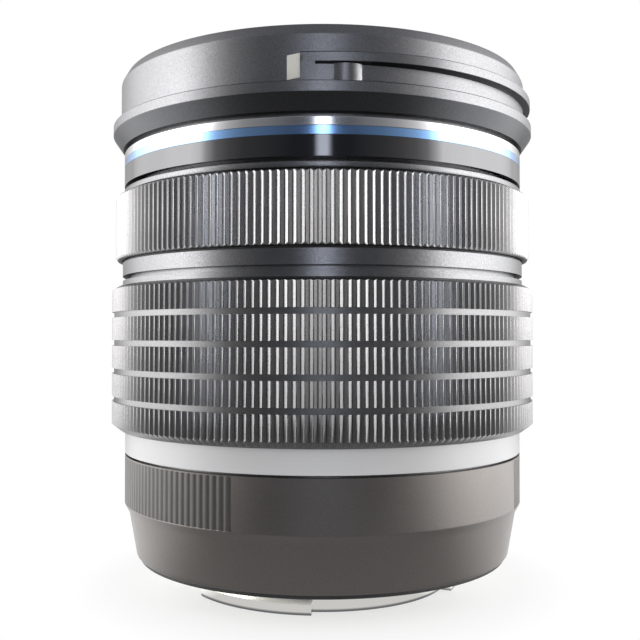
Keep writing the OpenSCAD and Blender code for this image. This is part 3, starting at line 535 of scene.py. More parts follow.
ZOOM_ROWS = 5
ZOOM_CHAMFER = 1.0 * MM
ZOOM_ROW_GAP = 0.8 * MM
ZOOM_EDGE = 0.55 * MM
ZOOM_FOOT = 0.12 * MM
ZOOM_HEAD = 0.45 * MM


def zoom_profile(height):
    tip = zoom_tip_r
    root = tip - RIB_HEIGHT
    core = root - ROW_SINK
    r = root + RIB_HEIGHT * height
    first = zoom_bottom + ZOOM_CHAMFER
    last = zoom_grip_top - ZOOM_EDGE
    row_h = (last - first - (ZOOM_ROWS - 1) * ZOOM_ROW_GAP) / ZOOM_ROWS
    foot = GRIP_BORE + ZOOM_FOOT
    head = GRIP_BORE + ZOOM_HEAD
    start = zoom_bottom + ZOOM_CHAMFER * (r - foot) / (tip - foot)
    end = zoom_grip_top - ZOOM_EDGE * (r - head) / (tip - head)
    points = [(GRIP_BORE, zoom_bottom), (foot, zoom_bottom), (r, start)]
    for row in range(ZOOM_ROWS):
        low = first + row * (row_h + ZOOM_ROW_GAP)
        high = low + row_h
        if row > 0:
            points += [(core, low - RIB_END), (r - RIB_END * height, low), (r, low + RIB_END)]
        if row < ZOOM_ROWS - 1:
            points += [(r, high - RIB_END), (r - RIB_END * height, high), (core, high + RIB_END)]
    points += [(r, end), (head, zoom_grip_top), (GRIP_BORE, zoom_grip_top)]
    return points


FOCUS_EDGE = 0.4 * MM


def focus_profile(height):
    tip = focus_tip_r
    root = tip - RIB_HEIGHT
    r = root + RIB_HEIGHT * height
    foot = root - ROW_SINK
    slope = FOCUS_EDGE * (r - foot) / (tip - foot)
    return [
        (GRIP_BORE, focus_bottom), (foot, focus_bottom), (r, focus_bottom + slope),
        (r, focus_top - slope), (foot, focus_top), (GRIP_BORE, focus_top)
    ]


def paint_groove_shade(sleeve, tip):
    """Paints shade into the floor of the grooves and the deeper gaps between rows: each gets a darker black.
    """
    sleeve.data.materials.append(grip_valley_shade)
    sleeve.data.materials.append(grip_gap_shade)
    valley_r = tip - RIB_HEIGHT * (1 - VALLEY_SHARE)
    gap_r = tip - RIB_HEIGHT - ROW_SINK / 2
    for face in sleeve.data.polygons:
        radius = math.hypot(face.center.x, face.center.y)
        if radius < gap_r:
            face.material_index = 2
        elif radius < valley_r:
            face.material_index = 1


def make_grips():
    bm = bmesh.new()
    ribbed_sleeve(bm, zoom_profile)
    sleeve = piece("zoom_ribs", bm, grip_black, "zoom", ["zoom_grip"], RIB_SHARP)
    paint_groove_shade(sleeve, zoom_tip_r)
    bm = bmesh.new()
    ribbed_sleeve(bm, focus_profile)
    sleeve = piece("focus_ribs", bm, focus_black, "focus_control", ["focus_grip"], RIB_SHARP)
    paint_groove_shade(sleeve, focus_tip_r)


# Plain rings

EDGE = 0.07 * MM
BLUE_EDGE = 0.03 * MM
RIM_EDGE = 0.1 * MM
SEAL_EDGE = 0.1 * MM
RING_WALL = 0.8 * MM
STOP_WALL = 1.6 * MM
SEAL_W = 0.4 * MM
RIM_GAP = 0.14 * MM
TRIM_WALL = 1.9 * MM
TRIM_BORE = rim_r - TRIM_WALL


def turned_ring(name, outline, material, body, replaces, edge=EDGE):
    bm = bmesh.new()
    lathe(bm, soften(outline, edge))
    return piece(name, bm, material, body, replaces)


def band(r_in, r_out, low, high):
    return [(r_in, low), (r_out, low), (r_out, high), (r_in, high)]


def make_plain_rings():
    turned_ring("scale_band", band(ring_r - RING_WALL, scale_r, scale_bottom, scale_top),
                scale_silver, "zoom", ["zoom_scale_ring"])
    turned_ring("zoom_rim", band(ring_r - RING_WALL, ring_r, zoom_bottom, zoom_top - RIM_GAP),
                barrel_black, "zoom", ["zoom_ring"])
    turned_ring("focus_stop", band(stop_r - STOP_WALL, stop_r, stop_bottom, stop_top),
                barrel_black, "base", ["focus_retainer"])
    turned_ring("gloss_band", band(TRIM_BORE, rim_r, trim_bottom, trim_top),
                trim_gloss, "front", ["trim_ring"])
    turned_ring("blue_ring", band(TRIM_BORE, rim_r, accent_bottom, accent_top),
                accent_blue, "front", ["accent_ring"], BLUE_EDGE)
    turned_ring("bright_rim", band(TRIM_BORE, rim_r, rim_bottom, rim_top),
                rim_bright, "front", ["rim_ring"], RIM_EDGE)
    turned_ring("mount_gasket", band(seal_r - SEAL_W, seal_r, seal_bottom, seal_top),
                seal_rubber, "base", ["mount_seal"], SEAL_EDGE)


# Base shell. Angles are in degrees.

BASE_WAIST = 8.3 * MM
WAIST_CUT = 0.05 * MM
WAIST_EASE = 0.06 * MM
BASE_BEVEL_H = 1.2 * MM
BASE_BEVEL_W = 0.67 * MM
BASE_DRAW = 1.72 * MM
BASE_ROUND = 0.5 * MM
BASE_ROUND_STEPS = 6
BASE_RIB_PITCH = 2.0
BASE_RIB_COUNT = 46
BASE_RIB_MIDDLE = -158.5
BASE_RIB_DEPTH = 0.12 * MM
BASE_RIB_MARGIN = 0.2 * MM
BASE_RIB_RAMP = 0.02 * MM
BASE_RIB_HALF = BASE_RIB_COUNT * BASE_RIB_PITCH / 2
# Places across a groove as shares of the pitch, each with its share of the depth
BASE_RIB_SHAPE = [(-0.5, 1.0), (-0.3, 0.45), (-0.14, 0.0), (0.14, 0.0), (0.3, 0.45)]
BASE_PLAIN_STEP = 1.5
BASE_PLAIN_LEAD = 0.15
BASE_SHARP = 35
BASE_WALL = 1.5 * MM
BASE_LEDGE = 9.0 * MM
FOOT_GAP = 0.1 * MM
SHOULDER_IN = 20.5 * MM
SHOULDER_TOP = 4.6 * MM


def base_stations():
    """Directions round the base, each with the depth of the grip groove there."""
    stations = []
    for side in (0, 180):
        middle = BASE_RIB_MIDDLE + side
        for i in range(BASE_RIB_COUNT):
            for share, depth in BASE_RIB_SHAPE:
                stations.append((middle - BASE_RIB_HALF + (i + 0.5 + share) * BASE_RIB_PITCH, depth))
        panel_end = middle + BASE_RIB_HALF
        stations.append((panel_end, 1.0))
        plain = 180 - 2 * BASE_RIB_HALF
        steps = int(plain / BASE_PLAIN_STEP)
        stations += [(panel_end + plain * (k + BASE_PLAIN_LEAD) / steps, 0.0) for k in range(steps)]
    return stations


def base_profile(depth):
    foot_r = base_r - BASE_DRAW
    foot_in = mount_r + FOOT_GAP
    groove = base_r - BASE_RIB_DEPTH * depth
    wall_in = base_r - BASE_WALL
    low = BASE_WAIST + BASE_RIB_MARGIN
    high = base_top - BASE_RIB_MARGIN
    points = [(foot_in, base_bottom)]
    for i in range(BASE_ROUND_STEPS + 1):
        t = math.pi / 2 * i / BASE_ROUND_STEPS
        out = BASE_ROUND * (1 - math.sin(t))
        up = BASE_ROUND * (1 - math.cos(t))
        points.append((foot_r - out, base_bottom + up))
    points += [
        (base_r - BASE_BEVEL_W, BASE_WAIST - BASE_BEVEL_H),
        (base_r - WAIST_CUT, BASE_WAIST - WAIST_EASE), (base_r, BASE_WAIST + WAIST_EASE),
        (base_r, low - BASE_RIB_RAMP), (groove, low + BASE_RIB_RAMP),
        (groove, high - BASE_RIB_RAMP), (base_r, high + BASE_RIB_RAMP),
        (base_r, base_top - EDGE), (base_r - EDGE, base_top),
        (wall_in, base_top), (wall_in, BASE_LEDGE),
        (mount_r, BASE_LEDGE), (mount_r, SHOULDER_TOP),
        (SHOULDER_IN, SHOULDER_TOP), (SHOULDER_IN, mount_top), (foot_in, mount_top)
    ]
    return points


def on_rib_panel(point):
    """True for a point on one of the two ribbed panels of the base."""
    turn = math.degrees(math.atan2(point.y, point.x)) - BASE_RIB_MIDDLE
    from_middle = abs((turn + 90) % 180 - 90)
    inside = BASE_WAIST + BASE_RIB_MARGIN < point.z < base_top - BASE_RIB_MARGIN
    outside = math.hypot(point.x, point.y) > base_r - 2 * BASE_RIB_DEPTH
    return inside and outside and from_middle < BASE_RIB_HALF


def make_base():
    bm = bmesh.new()
    sections = []
    for degrees, depth in base_stations():
        angle = math.radians(degrees)
        sections.append([polar(r, angle, z) for r, z in base_profile(depth)])
    sweep(bm, sections)
    body = piece("base_body", bm, base_black, "base", ["base_shell"], BASE_SHARP)
    body.data.materials.append(panel_black)
    for face in body.data.polygons:
        if on_rib_panel(face.center):
            face.material_index = 1


# Front ring with the hood bayonet. Angles are in degrees.

FRONT_SIDES = 288
FRONT_SHARP = 38
NECK_H = 0.6 * MM
NECK_IN = 0.8 * MM
NECK_TOP = front_bottom + NECK_H
LIP_Z = NECK_TOP + 2.0 * MM
LIP_FACE = LIP_Z + 1.4 * MM
LIP_TOP = LIP_FACE + 0.3 * MM
LIP_CUT = 0.05 * MM
LIP_EASE = 0.06 * MM
FACE_EDGE = 0.12 * MM
UNDER_TILT = -0.2
BAND_R = ring_r + 0.25 * MM
RAIL_Z = LIP_TOP + 1.9 * MM
RAIL_TOP = RAIL_Z + 1.7 * MM
RAIL_R = BAND_R + 1.0 * MM
RAIL_ROOT = BAND_R - 0.2 * MM
RAIL_START = -95.0
RAIL_SPAN = 90.0
RAIL_STEPS = 90
RAIL_LOW = 0.35 * MM
RAIL_RISE = 0.4
RAIL_SHOULDER = 0.2 * MM
RAIL_UNDER = 0.26 * MM
RAIL_TUCK = 0.1 * MM
RAIL_CUT = 0.04 * MM
RAIL_EASE = 0.06 * MM
STOP_LEAD = 0.05
STOP_SPAN = 3.4
STOP_STEPS = 4
STOP_DROP = 0.9 * MM
STOP_LAP = 0.1 * MM
DETENT_START = -87.3
DETENT_SPAN = 6.5
DETENT_STEPS = 24
DETENT_RISE = 0.55 * MM
DETENT_FALL = 0.62
DETENT_DROP = 0.2 * MM
DETENT_LAP = 0.05 * MM
BROW_Z = RAIL_TOP + 2.1 * MM
BROW_SLOPE = 0.75 * MM
BROW_CUT = 0.05 * MM
BROW_EASE = 0.1 * MM
TOP_CUT = 0.08 * MM
THREAD_LEAD = 0.25 * MM
THREAD_PITCH = 0.75 * MM
THREAD_DEPTH = 0.3 * MM
# Heights within one turn of the thread, as shares of the pitch
THREAD_CREST = 0.2
THREAD_FLANK = 0.5
THREAD_FLOOR = 0.6
SEAT_IN = TRIM_BORE - 1.5 * MM
SEAT_BOTTOM = name_bottom - 0.8 * MM


def front_outline():
    """Outline of the front ring: neck, lip, band, sloped brow and the filter thread inside."""
    neck_r = rim_r - NECK_IN
    top_r = BAND_R - BROW_SLOPE
    outer = [
        (TRIM_BORE, front_bottom), (neck_r, front_bottom), (neck_r, NECK_TOP),
        (ring_r - EDGE, NECK_TOP), (ring_r, NECK_TOP + EDGE / 2),
        (lip_r - LIP_CUT, LIP_Z - LIP_CUT), (lip_r, LIP_Z + LIP_EASE),
        (lip_r, LIP_FACE - FACE_EDGE), (lip_r - FACE_EDGE, LIP_FACE),
        (BAND_R, LIP_TOP), (BAND_R, BROW_Z - BROW_EASE), (BAND_R - BROW_CUT, BROW_Z + BROW_EASE),
        (top_r, front_top - TOP_CUT), (top_r - TOP_CUT, front_top), (thread_r + THREAD_LEAD, front_top)
    ]
    root_r = thread_r + THREAD_DEPTH
    thread = []
    for i in range(int(thread_l / THREAD_PITCH)):
        z = front_top - THREAD_LEAD - i * THREAD_PITCH
        thread += [
            (thread_r, z), (thread_r, z - THREAD_CREST * THREAD_PITCH),
            (root_r, z - THREAD_FLANK * THREAD_PITCH), (root_r, z - THREAD_FLOOR * THREAD_PITCH)
        ]
    inner = [
        (root_r, name_bottom), (SEAT_IN, name_bottom), (SEAT_IN, SEAT_BOTTOM), (TRIM_BORE, SEAT_BOTTOM)
    ]
    return outer + thread + inner


def rail_reach(t):
    """Reach of the rail beyond the band: low at its start, full further along."""
    rise = min(1.0, t / RAIL_RISE)
    return RAIL_LOW + (RAIL_R - BAND_R - RAIL_LOW) * rise * rise * (3 - 2 * rise)


def rail_outline(t):
    tip = BAND_R + rail_reach(t)
    under = RAIL_Z + RAIL_UNDER
    face_top = RAIL_TOP - RAIL_SHOULDER
    return [
        (RAIL_ROOT, RAIL_Z - RAIL_TUCK), (tip - RAIL_CUT, under), (tip, under + RAIL_EASE),
        (tip, face_top - FACE_EDGE), (tip - FACE_EDGE, face_top), (RAIL_ROOT, RAIL_TOP)
    ]


def stop_outline(t):
    """Block that closes the start of the track, the same all along."""
    return band(RAIL_ROOT, BAND_R + RAIL_LOW, LIP_TOP - STOP_DROP, RAIL_Z + RAIL_UNDER + STOP_LAP)


def detent_outline(t):
    """One round ridge that starts with a step and runs out flush."""
    away = 2 * t - 1
    rise = 1 - away * away * (DETENT_FALL if away < 0 else 1.0)
    return band(RAIL_ROOT, BAND_R + DETENT_RISE * rise, LIP_TOP - DETENT_DROP, RAIL_Z + DETENT_LAP)


def make_front_ring():
    bm = bmesh.new()
    lathe(bm, front_outline(), FRONT_SIDES)
    for side in (0, 180):
        start = RAIL_START + side
        detent = DETENT_START + side
        arc_bar(bm, rail_outline, start, start + RAIL_SPAN, RAIL_STEPS)
        arc_bar(bm, stop_outline, start + STOP_LEAD, start + STOP_SPAN, STOP_STEPS)
        arc_bar(bm, detent_outline, detent, detent + DETENT_SPAN, DETENT_STEPS)
    ring = piece("front_ring", bm, front_black, "front", ["hood_bayonet_ring"], FRONT_SHARP)
    # Downward faces outside the band or below the lip get the darker black: painted shade
    ring.data.materials.append(underside_shade_black)
    for face in ring.data.polygons:
        outside = math.hypot(face.center.x, face.center.y) > BAND_R
        if face.normal.z < UNDER_TILT and (outside or face.center.z < LIP_Z):
            face.material_index = 1


INDEX_PROUD = 0.06 * MM
INDEX_ROOT = 0.3 * MM
INDEX_EDGE = 0.05 * MM
INDEX_W = 1.6 * MM
INDEX_SHEAR = 0.28 * MM
INDEX_STEPS = 6


def make_index_bar():
    """White bar let into the band, its ends cut on a slant."""
    bm = bmesh.new()
    middle = math.degrees(math.atan2(index_low[1] + index_high[1], index_low[0] + index_high[0]))
    half = math.degrees(INDEX_W / 2 / BAND_R)
    flat = band(BAND_R - INDEX_ROOT, BAND_R + INDEX_PROUD, index_low[2], index_high[2] - INDEX_SHEAR)
    outline = soften(flat, INDEX_EDGE)

    def slanted(t):
        return [(r, z + INDEX_SHEAR * t) for r, z in outline]

    arc_bar(bm, slanted, middle - half, middle + half, INDEX_STEPS)
    piece("index_bar", bm, mark_white, "front", ["hood_index_mark"])


# Front glass and the ring round it

GLASS_STEPS = 40
GLASS_EDGE_H = 1.8 * MM
GLASS_REAR_BULGE = 2.6 * MM
GLASS_SHARP = 30
NAME_STEPS = 7
NAME_LAP = 1.4 * MM
NAME_LIP = 0.8 * MM
NAME_FLOOR = 0.7 * MM
NAME_TREAD = 0.97
NAME_TILT = 0.02 * MM
NAME_EDGE = 0.04 * MM


def glass_point(share, foot, bulge):
    """Point on a round cap of the front glass, at a share of its radius."""
    cap_r = (glass_r ** 2 + bulge ** 2) / (2 * bulge)
    r = glass_r * share
    return r, foot + math.sqrt(cap_r ** 2 - r ** 2) - (cap_r - bulge)


def make_front_glass():
    bm = bmesh.new()
    edge = glass_bottom + GLASS_EDGE_H
    shares = [i / GLASS_STEPS for i in range(1, GLASS_STEPS + 1)]
    front = [glass_point(share, edge, glass_top - edge) for share in reversed(shares)]
    rear = [glass_point(share, glass_bottom, GLASS_REAR_BULGE) for share in shares]
    disc(bm, front, rear)
    piece("front_glass", bm, glass_front, "front", ["front_element"], GLASS_SHARP)


def make_name_ring():
    """Stepped black ring that keeps stray light off the glass."""
    inner = glass_r - NAME_LAP
    outer = name_r - NAME_LIP
    outline = [(inner, name_bottom), (name_r, name_bottom), (name_r, name_top), (outer, name_top)]
    tread = (outer - inner) / NAME_STEPS
    riser = (name_top - name_bottom - NAME_FLOOR) / NAME_STEPS
    for i in range(NAME_STEPS):
        r = outer - tread * i
        z = name_top - riser * (i + 1)
        outline += [(r, z), (r - tread * NAME_TREAD, z + NAME_TILT)]
    turned_ring("baffle_ring", outline, inner_black, "front", ["name_ring"], NAME_EDGE)


# Mount pieces

SCREW_HEAD_R = 1.6 * MM
SCREW_HEAD_T = 0.8 * MM
SCREW_SHANK_R = 0.8 * MM
SCREW_EDGE = 0.12 * MM
SCREW_ANGLES = (45, 135, 225, 315)
SCREW_SIDES = 40
SCREW_SHARP = 35
CROSS_L = 0.95 * MM
CROSS_W = 0.22 * MM
CROSS_DEPTH = 0.45 * MM
CROSS_TAPER = 0.75


def screw(bm, x, y):
    """One screw with a cross recess, its head facing down."""
    face_z = screws_low[2]
    head_z = face_z + SCREW_HEAD_T
    turns = circle(SCREW_SIDES)

    def loop(radius, z):
        return [bm.verts.new((x + radius * math.cos(a), y + radius * math.sin(a), z)) for a in turns]

    loops = [
        loop(SCREW_HEAD_R - SCREW_EDGE, face_z), loop(SCREW_HEAD_R, face_z + SCREW_EDGE),
        loop(SCREW_HEAD_R, head_z), loop(SCREW_SHANK_R, head_z), loop(SCREW_SHANK_R, screws_high[2])
    ]
    stack(bm, loops)
    bm.faces.new(loops[-1])
    arm, half = CROSS_L, CROSS_W
    plan = [(arm, -half), (arm, half), (half, half), (half, arm), (-half, arm), (-half, half),
            (-arm, half), (-arm, -half), (-half, -half), (-half, -arm), (half, -arm), (half, -half)]
    rim = [bm.verts.new((x + px, y + py, face_z)) for px, py in plan]
    floor_z = face_z + CROSS_DEPTH
    floor = [bm.verts.new((x + px * CROSS_TAPER, y + py * CROSS_TAPER, floor_z)) for px, py in plan]
    stack(bm, [rim, floor])
    bm.faces.new(floor)
    edges = []
    for ring in (rim, loops[0]):
        edges += [bm.edges.get((ring[i - 1], ring[i])) for i in range(len(ring))]
    bmesh.ops.triangle_fill(bm, edges=edges, use_beauty=True)


CONTACT_COUNT = 11
CONTACT_STEP = 5.2
CONTACT_MIDDLE = -90
CONTACT_R = 0.45 * MM
CONTACT_CIRCLE = 15.6 * MM
CONTACT_RISE = 0.18 * MM
CONTACT_DOME = (0.35, 0.8, 1.2, math.pi / 2)
CONTACT_SIDES = 20
BEAD_RISE = 0.3 * MM
BEAD_DOME = (0.4, 0.8, 1.15, 1.4)
BEAD_SIDES = 36
ROUND_SHARP = 50


def contacts(bm):
    """Row of domed contact studs, their domes facing down."""
    side = [(CONTACT_R * math.sin(t), pins_low[2] + CONTACT_RISE * (1 - math.cos(t))) for t in CONTACT_DOME]
    side.append((CONTACT_R, pins_high[2]))
    turns = circle(CONTACT_SIDES)
    for i in range(CONTACT_COUNT):
        angle = math.radians(CONTACT_MIDDLE + (i - (CONTACT_COUNT - 1) / 2) * CONTACT_STEP)
        x, y, _ = polar(CONTACT_CIRCLE, angle, 0)
        rings = []
        for r, z in side:
            rings.append([bm.verts.new((x + r * math.cos(a), y + r * math.sin(a), z)) for a in turns])
        stack(bm, rings)
        bm.faces.new(rings[0])
        bm.faces.new(rings[-1])


def bead(bm):
    """Round red bead set in the base, its dome pointing away from the axis."""
    radius = (dot_high[0] - dot_low[0]) / 2
    x, z = (dot_high[0] + dot_low[0]) / 2, (dot_high[2] + dot_low[2]) / 2
    dome_y = dot_high[1] - BEAD_RISE
    side = [(radius, dot_low[1]), (radius, dome_y)]
    side += [(radius * math.cos(t), dome_y + BEAD_RISE * math.sin(t)) for t in BEAD_DOME]
    turns = circle(BEAD_SIDES)
    rings = [[bm.verts.new((x + r * math.cos(a), y, z + r * math.sin(a))) for a in turns] for r, y in side]
    stack(bm, rings)
    bm.faces.new(rings[0])
    bm.faces.new(rings[-1])


def make_mount_pieces():
    bm = bmesh.new()
    circle_r = (screws_high[0] - SCREW_HEAD_R) / math.cos(math.radians(SCREW_ANGLES[0]))
    for degrees in SCREW_ANGLES:
        x, y, _ = polar(circle_r, math.radians(degrees), 0)
        screw(bm, x, y)
    piece("mount_screw_set", bm, steel_plain, "base", ["mount_screws"], SCREW_SHARP)
    bm = bmesh.new()
    contacts(bm)
    piece("contact_studs", bm, contact_gold, "base", ["contact_pins"], ROUND_SHARP)
    bm = bmesh.new()
    bead(bm)
    piece("mount_bead", bm, mark_red, "base", ["mount_dot"], ROUND_SHARP)


# Zoom scale on the far side: plain numbers, each with its turn from the index line in degrees

SCALE_MARKS = (("14", 0), ("18", 18), ("25", 37), ("35", 55), ("45", 70))
SCALE_START = 90.0
NUMBER_SIZE = 2.3 * MM
NUMBER_CURVE = 4
MARK_DEPTH = 0.02 * MM
MARK_LIFT = 0.6
MARK_SHARP = 30
TICK_W = 0.22 * MM
TICK_LOW = 2.4 * MM
TICK_HIGH = 0.35 * MM
TICK_ROOT = 0.1 * MM
TICK_STEPS = 2


def number_mesh(text):
    """Flat number, centred, standing along Y."""
    curve = bpy.data.curves.new("number", "FONT")
    curve.body = text
    curve.size = NUMBER_SIZE
    curve.align_x = "CENTER"
    curve.align_y = "CENTER"
    curve.extrude = MARK_DEPTH
    curve.resolution_u = NUMBER_CURVE
    holder = bpy.data.objects.new("number", curve)
    scene.collection.objects.link(holder)
    bpy.context.view_layer.update()
    mesh = bpy.data.meshes.new_from_object(holder.evaluated_get(bpy.context.evaluated_depsgraph_get()))
    bpy.data.objects.remove(holder)
    bpy.data.curves.remove(curve)
    return mesh


def make_scale_marks():
    bm = bmesh.new()
    middle = (scale_bottom + scale_top) / 2
    for text, turn in SCALE_MARKS:
        start = len(bm.verts)
        mesh = number_mesh(text)
        bm.from_mesh(mesh)
        bpy.data.meshes.remove(mesh)
        bm.verts.ensure_lookup_table()
        for v in bm.verts[start:]:
            angle = math.radians(SCALE_START - turn) + v.co.x / scale_r
            v.co = polar(scale_r + MARK_DEPTH * MARK_LIFT + v.co.z, angle, middle + v.co.y)
    piece("scale_numbers", bm, mark_black, "zoom", sharp=MARK_SHARP)
    bm = bmesh.new()
    half = math.degrees(TICK_W / 2 / base_r)
    outline = band(base_r - TICK_ROOT, base_r + MARK_DEPTH, base_top - TICK_LOW, base_top - TICK_HIGH)
    arc_bar(bm, lambda t: outline, SCALE_START - half, SCALE_START + half, TICK_STEPS)
    piece("scale_index", bm, mark_white, "base", sharp=MARK_SHARP)


# Pieces that stay as they were built

BLOCK_EDGE = 0.08 * MM
WELD_REACH = 0.002 * MM
FINISHES = (
    (mount_chrome, ["bayonet_mount"]),
    (inner_black, ["contact_block", "rear_baffle", "rear_cell", "front_cell", "carriage",
                   "iris_base", "iris_cover", "focus_cell"]),
    (barrel_black, ["mid_barrel", "focus_ring", "front_barrel"]),
    (alloy_turned, ["guide_barrel", "cam_barrel"]),
    (brass_turned, ["zoom_key", "front_followers", "carriage_followers"]),
    (steel_plain, ["iris_motor", "guide_rods", "focus_magnets"]),
    (coil_copper, ["zoom_encoder", "focus_coils"]),
    (glass_inner, ["rear_element", "second_element", "variator_element", "focus_element"]),
    (board_green, ["main_board"]),
    (slip_dark, ["focus_slip_ring"]),
    (sensor_blue, ["focus_sensor"]),
    (seal_rubber, ["barrel_seal"]),
    (iris_black, ["iris_ring"] + [name for name in nodes if name.startswith("iris_blade_")])
)


def dress_nodes():
    """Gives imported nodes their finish; the contact block also gets softened edges."""
    for material, names in FINISHES:
        for name in names:
            nodes[name].data.materials.clear()
            nodes[name].data.materials.append(material)
    block = nodes["contact_block"]
    weld = block.modifiers.new("joined_faces", "WELD")
    weld.merge_threshold = WELD_REACH
    add_bevel(block, BLOCK_EDGE)


# Camera: distances from the lens axis and the flange, picture measures in pixels

CAMERA_AWAY = 138.06 * MM
CAMERA_HEIGHT = 32.62 * MM
CAMERA_NEAR = 5 * MM
FOCAL_PX = 891.0
FRAME_PX = 640.0
HORIZON_PX = 16.4
AXIS_PX = 2.2
SENSOR = 36.0


def make_camera():
    camera = bpy.data.cameras.new("camera")
    camera.sensor_width = SENSOR
    camera.lens = FOCAL_PX / FRAME_PX * SENSOR
    camera.clip_start = CAMERA_NEAR
    holder = bpy.data.objects.new("camera", camera)
    holder.location = (0, -CAMERA_AWAY, CAMERA_HEIGHT)
    pitch = math.atan(HORIZON_PX / FOCAL_PX)
    yaw = math.atan(AXIS_PX / FOCAL_PX)
    holder.rotation_euler = (math.pi / 2 + pitch, 0, yaw)
    scene.collection.objects.link(holder)
    scene.camera = holder


# Floor: distances from the lens axis in metres, directions in degrees from the camera's side

WHITE = (1, 1, 1, 1)
FLOOR_R = 3.0
FLOOR_SIDES = 96
FLOOR_COLOR = (0.9, 0.9, 0.895)
FLOOR_ROUGH = 0.8
FLOOR_SHEEN = 0.1
FLOOR_NEAR = 0.016
FLOOR_WHITE = 0.037
FLOOR_FAR = 0.044
FLOOR_DIM = 0.07
FLOOR_SHADE = 0.5
FLOOR_BRIGHT = 0.6
FLOOR_DARK = 0.22
FLOOR_SIDE = 3.8
SIDE_NEAR = 0.03
SIDE_FAR = 0.15
SIDE_LOW = 0.25
SIDE_START = math.radians(50)
SIDE_END = math.radians(78)
SIDE_FALL = math.radians(115)
SIDE_BACK = math.radians(140)


def turn_from_camera(tree, x, y):
    """Direction round the lens, 0 towards the camera and positive to its right."""
    return math_node(tree, "ARCTAN2", x, math_node(tree, "MULTIPLY", y, -1.0))


def floor_mirror(tree, away):
    """Strength with which shiny pieces see the floor: fading outwards, and bright at both sides."""
    fading = map_range(tree, away, FLOOR_FAR, FLOOR_DIM, FLOOR_BRIGHT, FLOOR_DARK)
    spot = along_axes(tree, object_position(tree))
    turn = math_node(tree, "ABSOLUTE", turn_from_camera(tree, spot[0], spot[1]))
    side = map_range(tree, turn, SIDE_START, SIDE_END, 0.0, FLOOR_SIDE)
    behind = map_range(tree, turn, SIDE_FALL, SIDE_BACK, 1.0, 0.0)
    reach = map_range(tree, away, SIDE_NEAR, SIDE_FAR, SIDE_LOW)
    beside = math_node(tree, "MULTIPLY", math_node(tree, "MULTIPLY", side, behind), reach)
    return math_node(tree, "ADD", fading, beside)


def make_floor():
    bm = bmesh.new()
    bmesh.ops.create_circle(bm, cap_ends=True, segments=FLOOR_SIDES, radius=FLOOR_R)
    mesh = bpy.data.meshes.new("floor")
    bm.to_mesh(mesh)
    bm.free()
    floor = bpy.data.objects.new("floor", mesh)
    floor.location = (0, 0, tube_bottom)
    scene.collection.objects.link(floor)
    material, tree, shader = principled("floor_white", FLOOR_COLOR, 0.0, FLOOR_ROUGH)
    shader.inputs["Specular IOR Level"].default_value = FLOOR_SHEEN
    away = vector_length(tree, object_position(tree))
    path = node(tree, "ShaderNodeLightPath").outputs
    # The camera sees plain white further out and the lens's own shadow close to it
    far = map_range(tree, away, FLOOR_NEAR, FLOOR_WHITE, FLOOR_SHADE, 1.0)
    seen = math_node(tree, "MULTIPLY", path["Is Camera Ray"], far)
    glow = node(tree, "ShaderNodeEmission", {"Color": WHITE, "Strength": 1.0}).outputs[0]
    white = node(tree, "ShaderNodeMixShader", {0: seen, 1: shader.outputs[0], 2: glow}).outputs[0]
    mirrored = floor_mirror(tree, away)
    mirror = node(tree, "ShaderNodeEmission", {"Color": WHITE, "Strength": mirrored}).outputs[0]
    above = node(tree, "ShaderNodeMixShader", {0: path["Is Glossy Ray"], 1: white, 2: mirror}).outputs[0]
    underside = node(tree, "ShaderNodeNewGeometry").outputs["Backfacing"]
    clear = node(tree, "ShaderNodeBsdfTransparent").outputs[0]
    both = node(tree, "ShaderNodeMixShader", {0: underside, 1: above, 2: clear}).outputs[0]
    tree.links.new(both, tree.nodes["Material Output"].inputs["Surface"])
    mesh.materials.append(material)


# Studio light: a plain level for matt surfaces, and lamps and dark walls that shiny ones mirror

PLAIN_LEVEL = 0.95
STUDIO_LEVEL = 8.0
LAMP = (1.0, 0.99, 0.97)
STRIP_LAMP = (0.7, 0.75, 0.85)
STRIP_SIDE = (0.021, 0.022, 0.027)
BACK_WALL = (0.045, 0.045, 0.046)
CEILING = (0.06, 0.061, 0.065)
CEILING_START = 0.28
CEILING_END = 0.9


def grey(level):
    return level, level, level


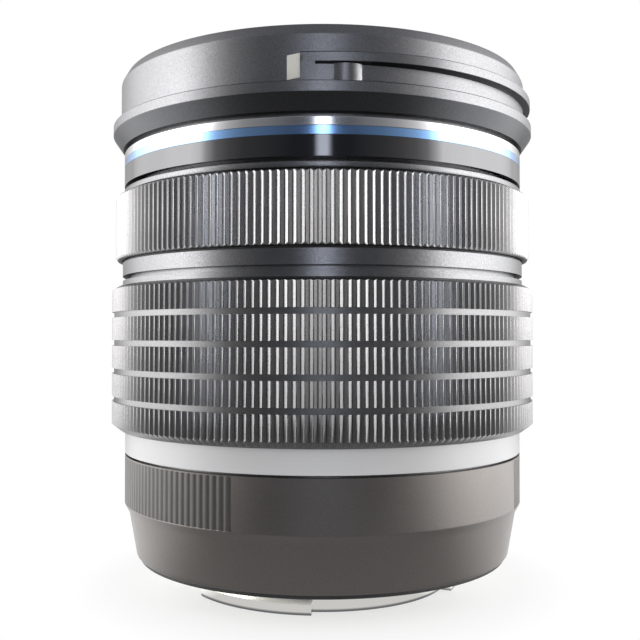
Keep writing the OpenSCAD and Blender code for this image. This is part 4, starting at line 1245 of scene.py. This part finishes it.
# Direction round the lens in degrees, 0 towards the camera and positive to its right, and its light
STUDIO = (
    (-180, BACK_WALL), (-152, grey(0.08)), (-136, grey(0.17)), (-118, grey(0.51)),
    (-103, (0.73, 0.73, 0.72)), (-92, (0.92, 0.91, 0.9)), (-77, LAMP), (-70, (0.85, 0.85, 0.84)),
    (-66, grey(0.45)), (-60, grey(0.17)), (-52, grey(0.09)), (-43, (0.050, 0.051, 0.052)),
    (-15, (0.019, 0.020, 0.023)), (-3.4, STRIP_SIDE), (-2.4, STRIP_LAMP),
    (3.6, STRIP_LAMP), (4.6, STRIP_SIDE), (15, (0.020, 0.021, 0.024)),
    (34, (0.048, 0.049, 0.051)), (43, (0.075, 0.075, 0.076)), (52, grey(0.125)), (59, grey(0.23)),
    (65, grey(0.58)), (69, (0.95, 0.95, 0.94)), (76, LAMP), (92, (1.0, 0.99, 0.98)),
    (103, (0.85, 0.85, 0.84)), (118, grey(0.58)), (136, grey(0.19)), (152, grey(0.08)), (180, BACK_WALL)
)


def studio_color(tree):
    """Colour of the studio in each direction, with a dark ceiling."""
    way = along_axes(tree, node(tree, "ShaderNodeTexCoord").outputs["Generated"])
    turn = turn_from_camera(tree, way[0], way[1])
    place = math_node(tree, "MULTIPLY_ADD", turn, 0.5 / math.pi, 0.5)
    ramp = node(tree, "ShaderNodeValToRGB", {0: place})
    stops = ramp.color_ramp.elements
    while len(stops) < len(STUDIO):
        stops.new(0.5)
    for stop, (degrees, color) in zip(stops, STUDIO):
        stop.position = degrees / 360 + 0.5
        stop.color = (*color, 1.0)
    high = map_range(tree, way[2], CEILING_START, CEILING_END)
    return blend_color(tree, high, ramp.outputs[0], CEILING)


def make_light():
    world = bpy.data.worlds.new("studio")
    scene.world = world
    world.use_nodes = True
    tree = world.node_tree
    tree.nodes.clear()

    def light(color, strength):
        return node(tree, "ShaderNodeBackground", {"Color": color, "Strength": strength}).outputs[0]

    def either(choice, low, high):
        return node(tree, "ShaderNodeMixShader", {0: choice, 1: low, 2: high}).outputs[0]

    path = node(tree, "ShaderNodeLightPath").outputs
    shiny = math_node(tree, "MAXIMUM", path["Is Glossy Ray"], path["Is Transmission Ray"])
    on_lens = either(shiny, light(WHITE, PLAIN_LEVEL), light(studio_color(tree), STUDIO_LEVEL))
    all_rays = either(path["Is Camera Ray"], on_lens, light(WHITE, 1.0))
    node(tree, "ShaderNodeOutputWorld", {0: all_rays})


make_camera()
make_floor()
make_light()
make_grips()
make_plain_rings()
make_base()
make_front_ring()
make_index_bar()
make_front_glass()
make_name_ring()
make_mount_pieces()
make_scale_marks()
dress_nodes()
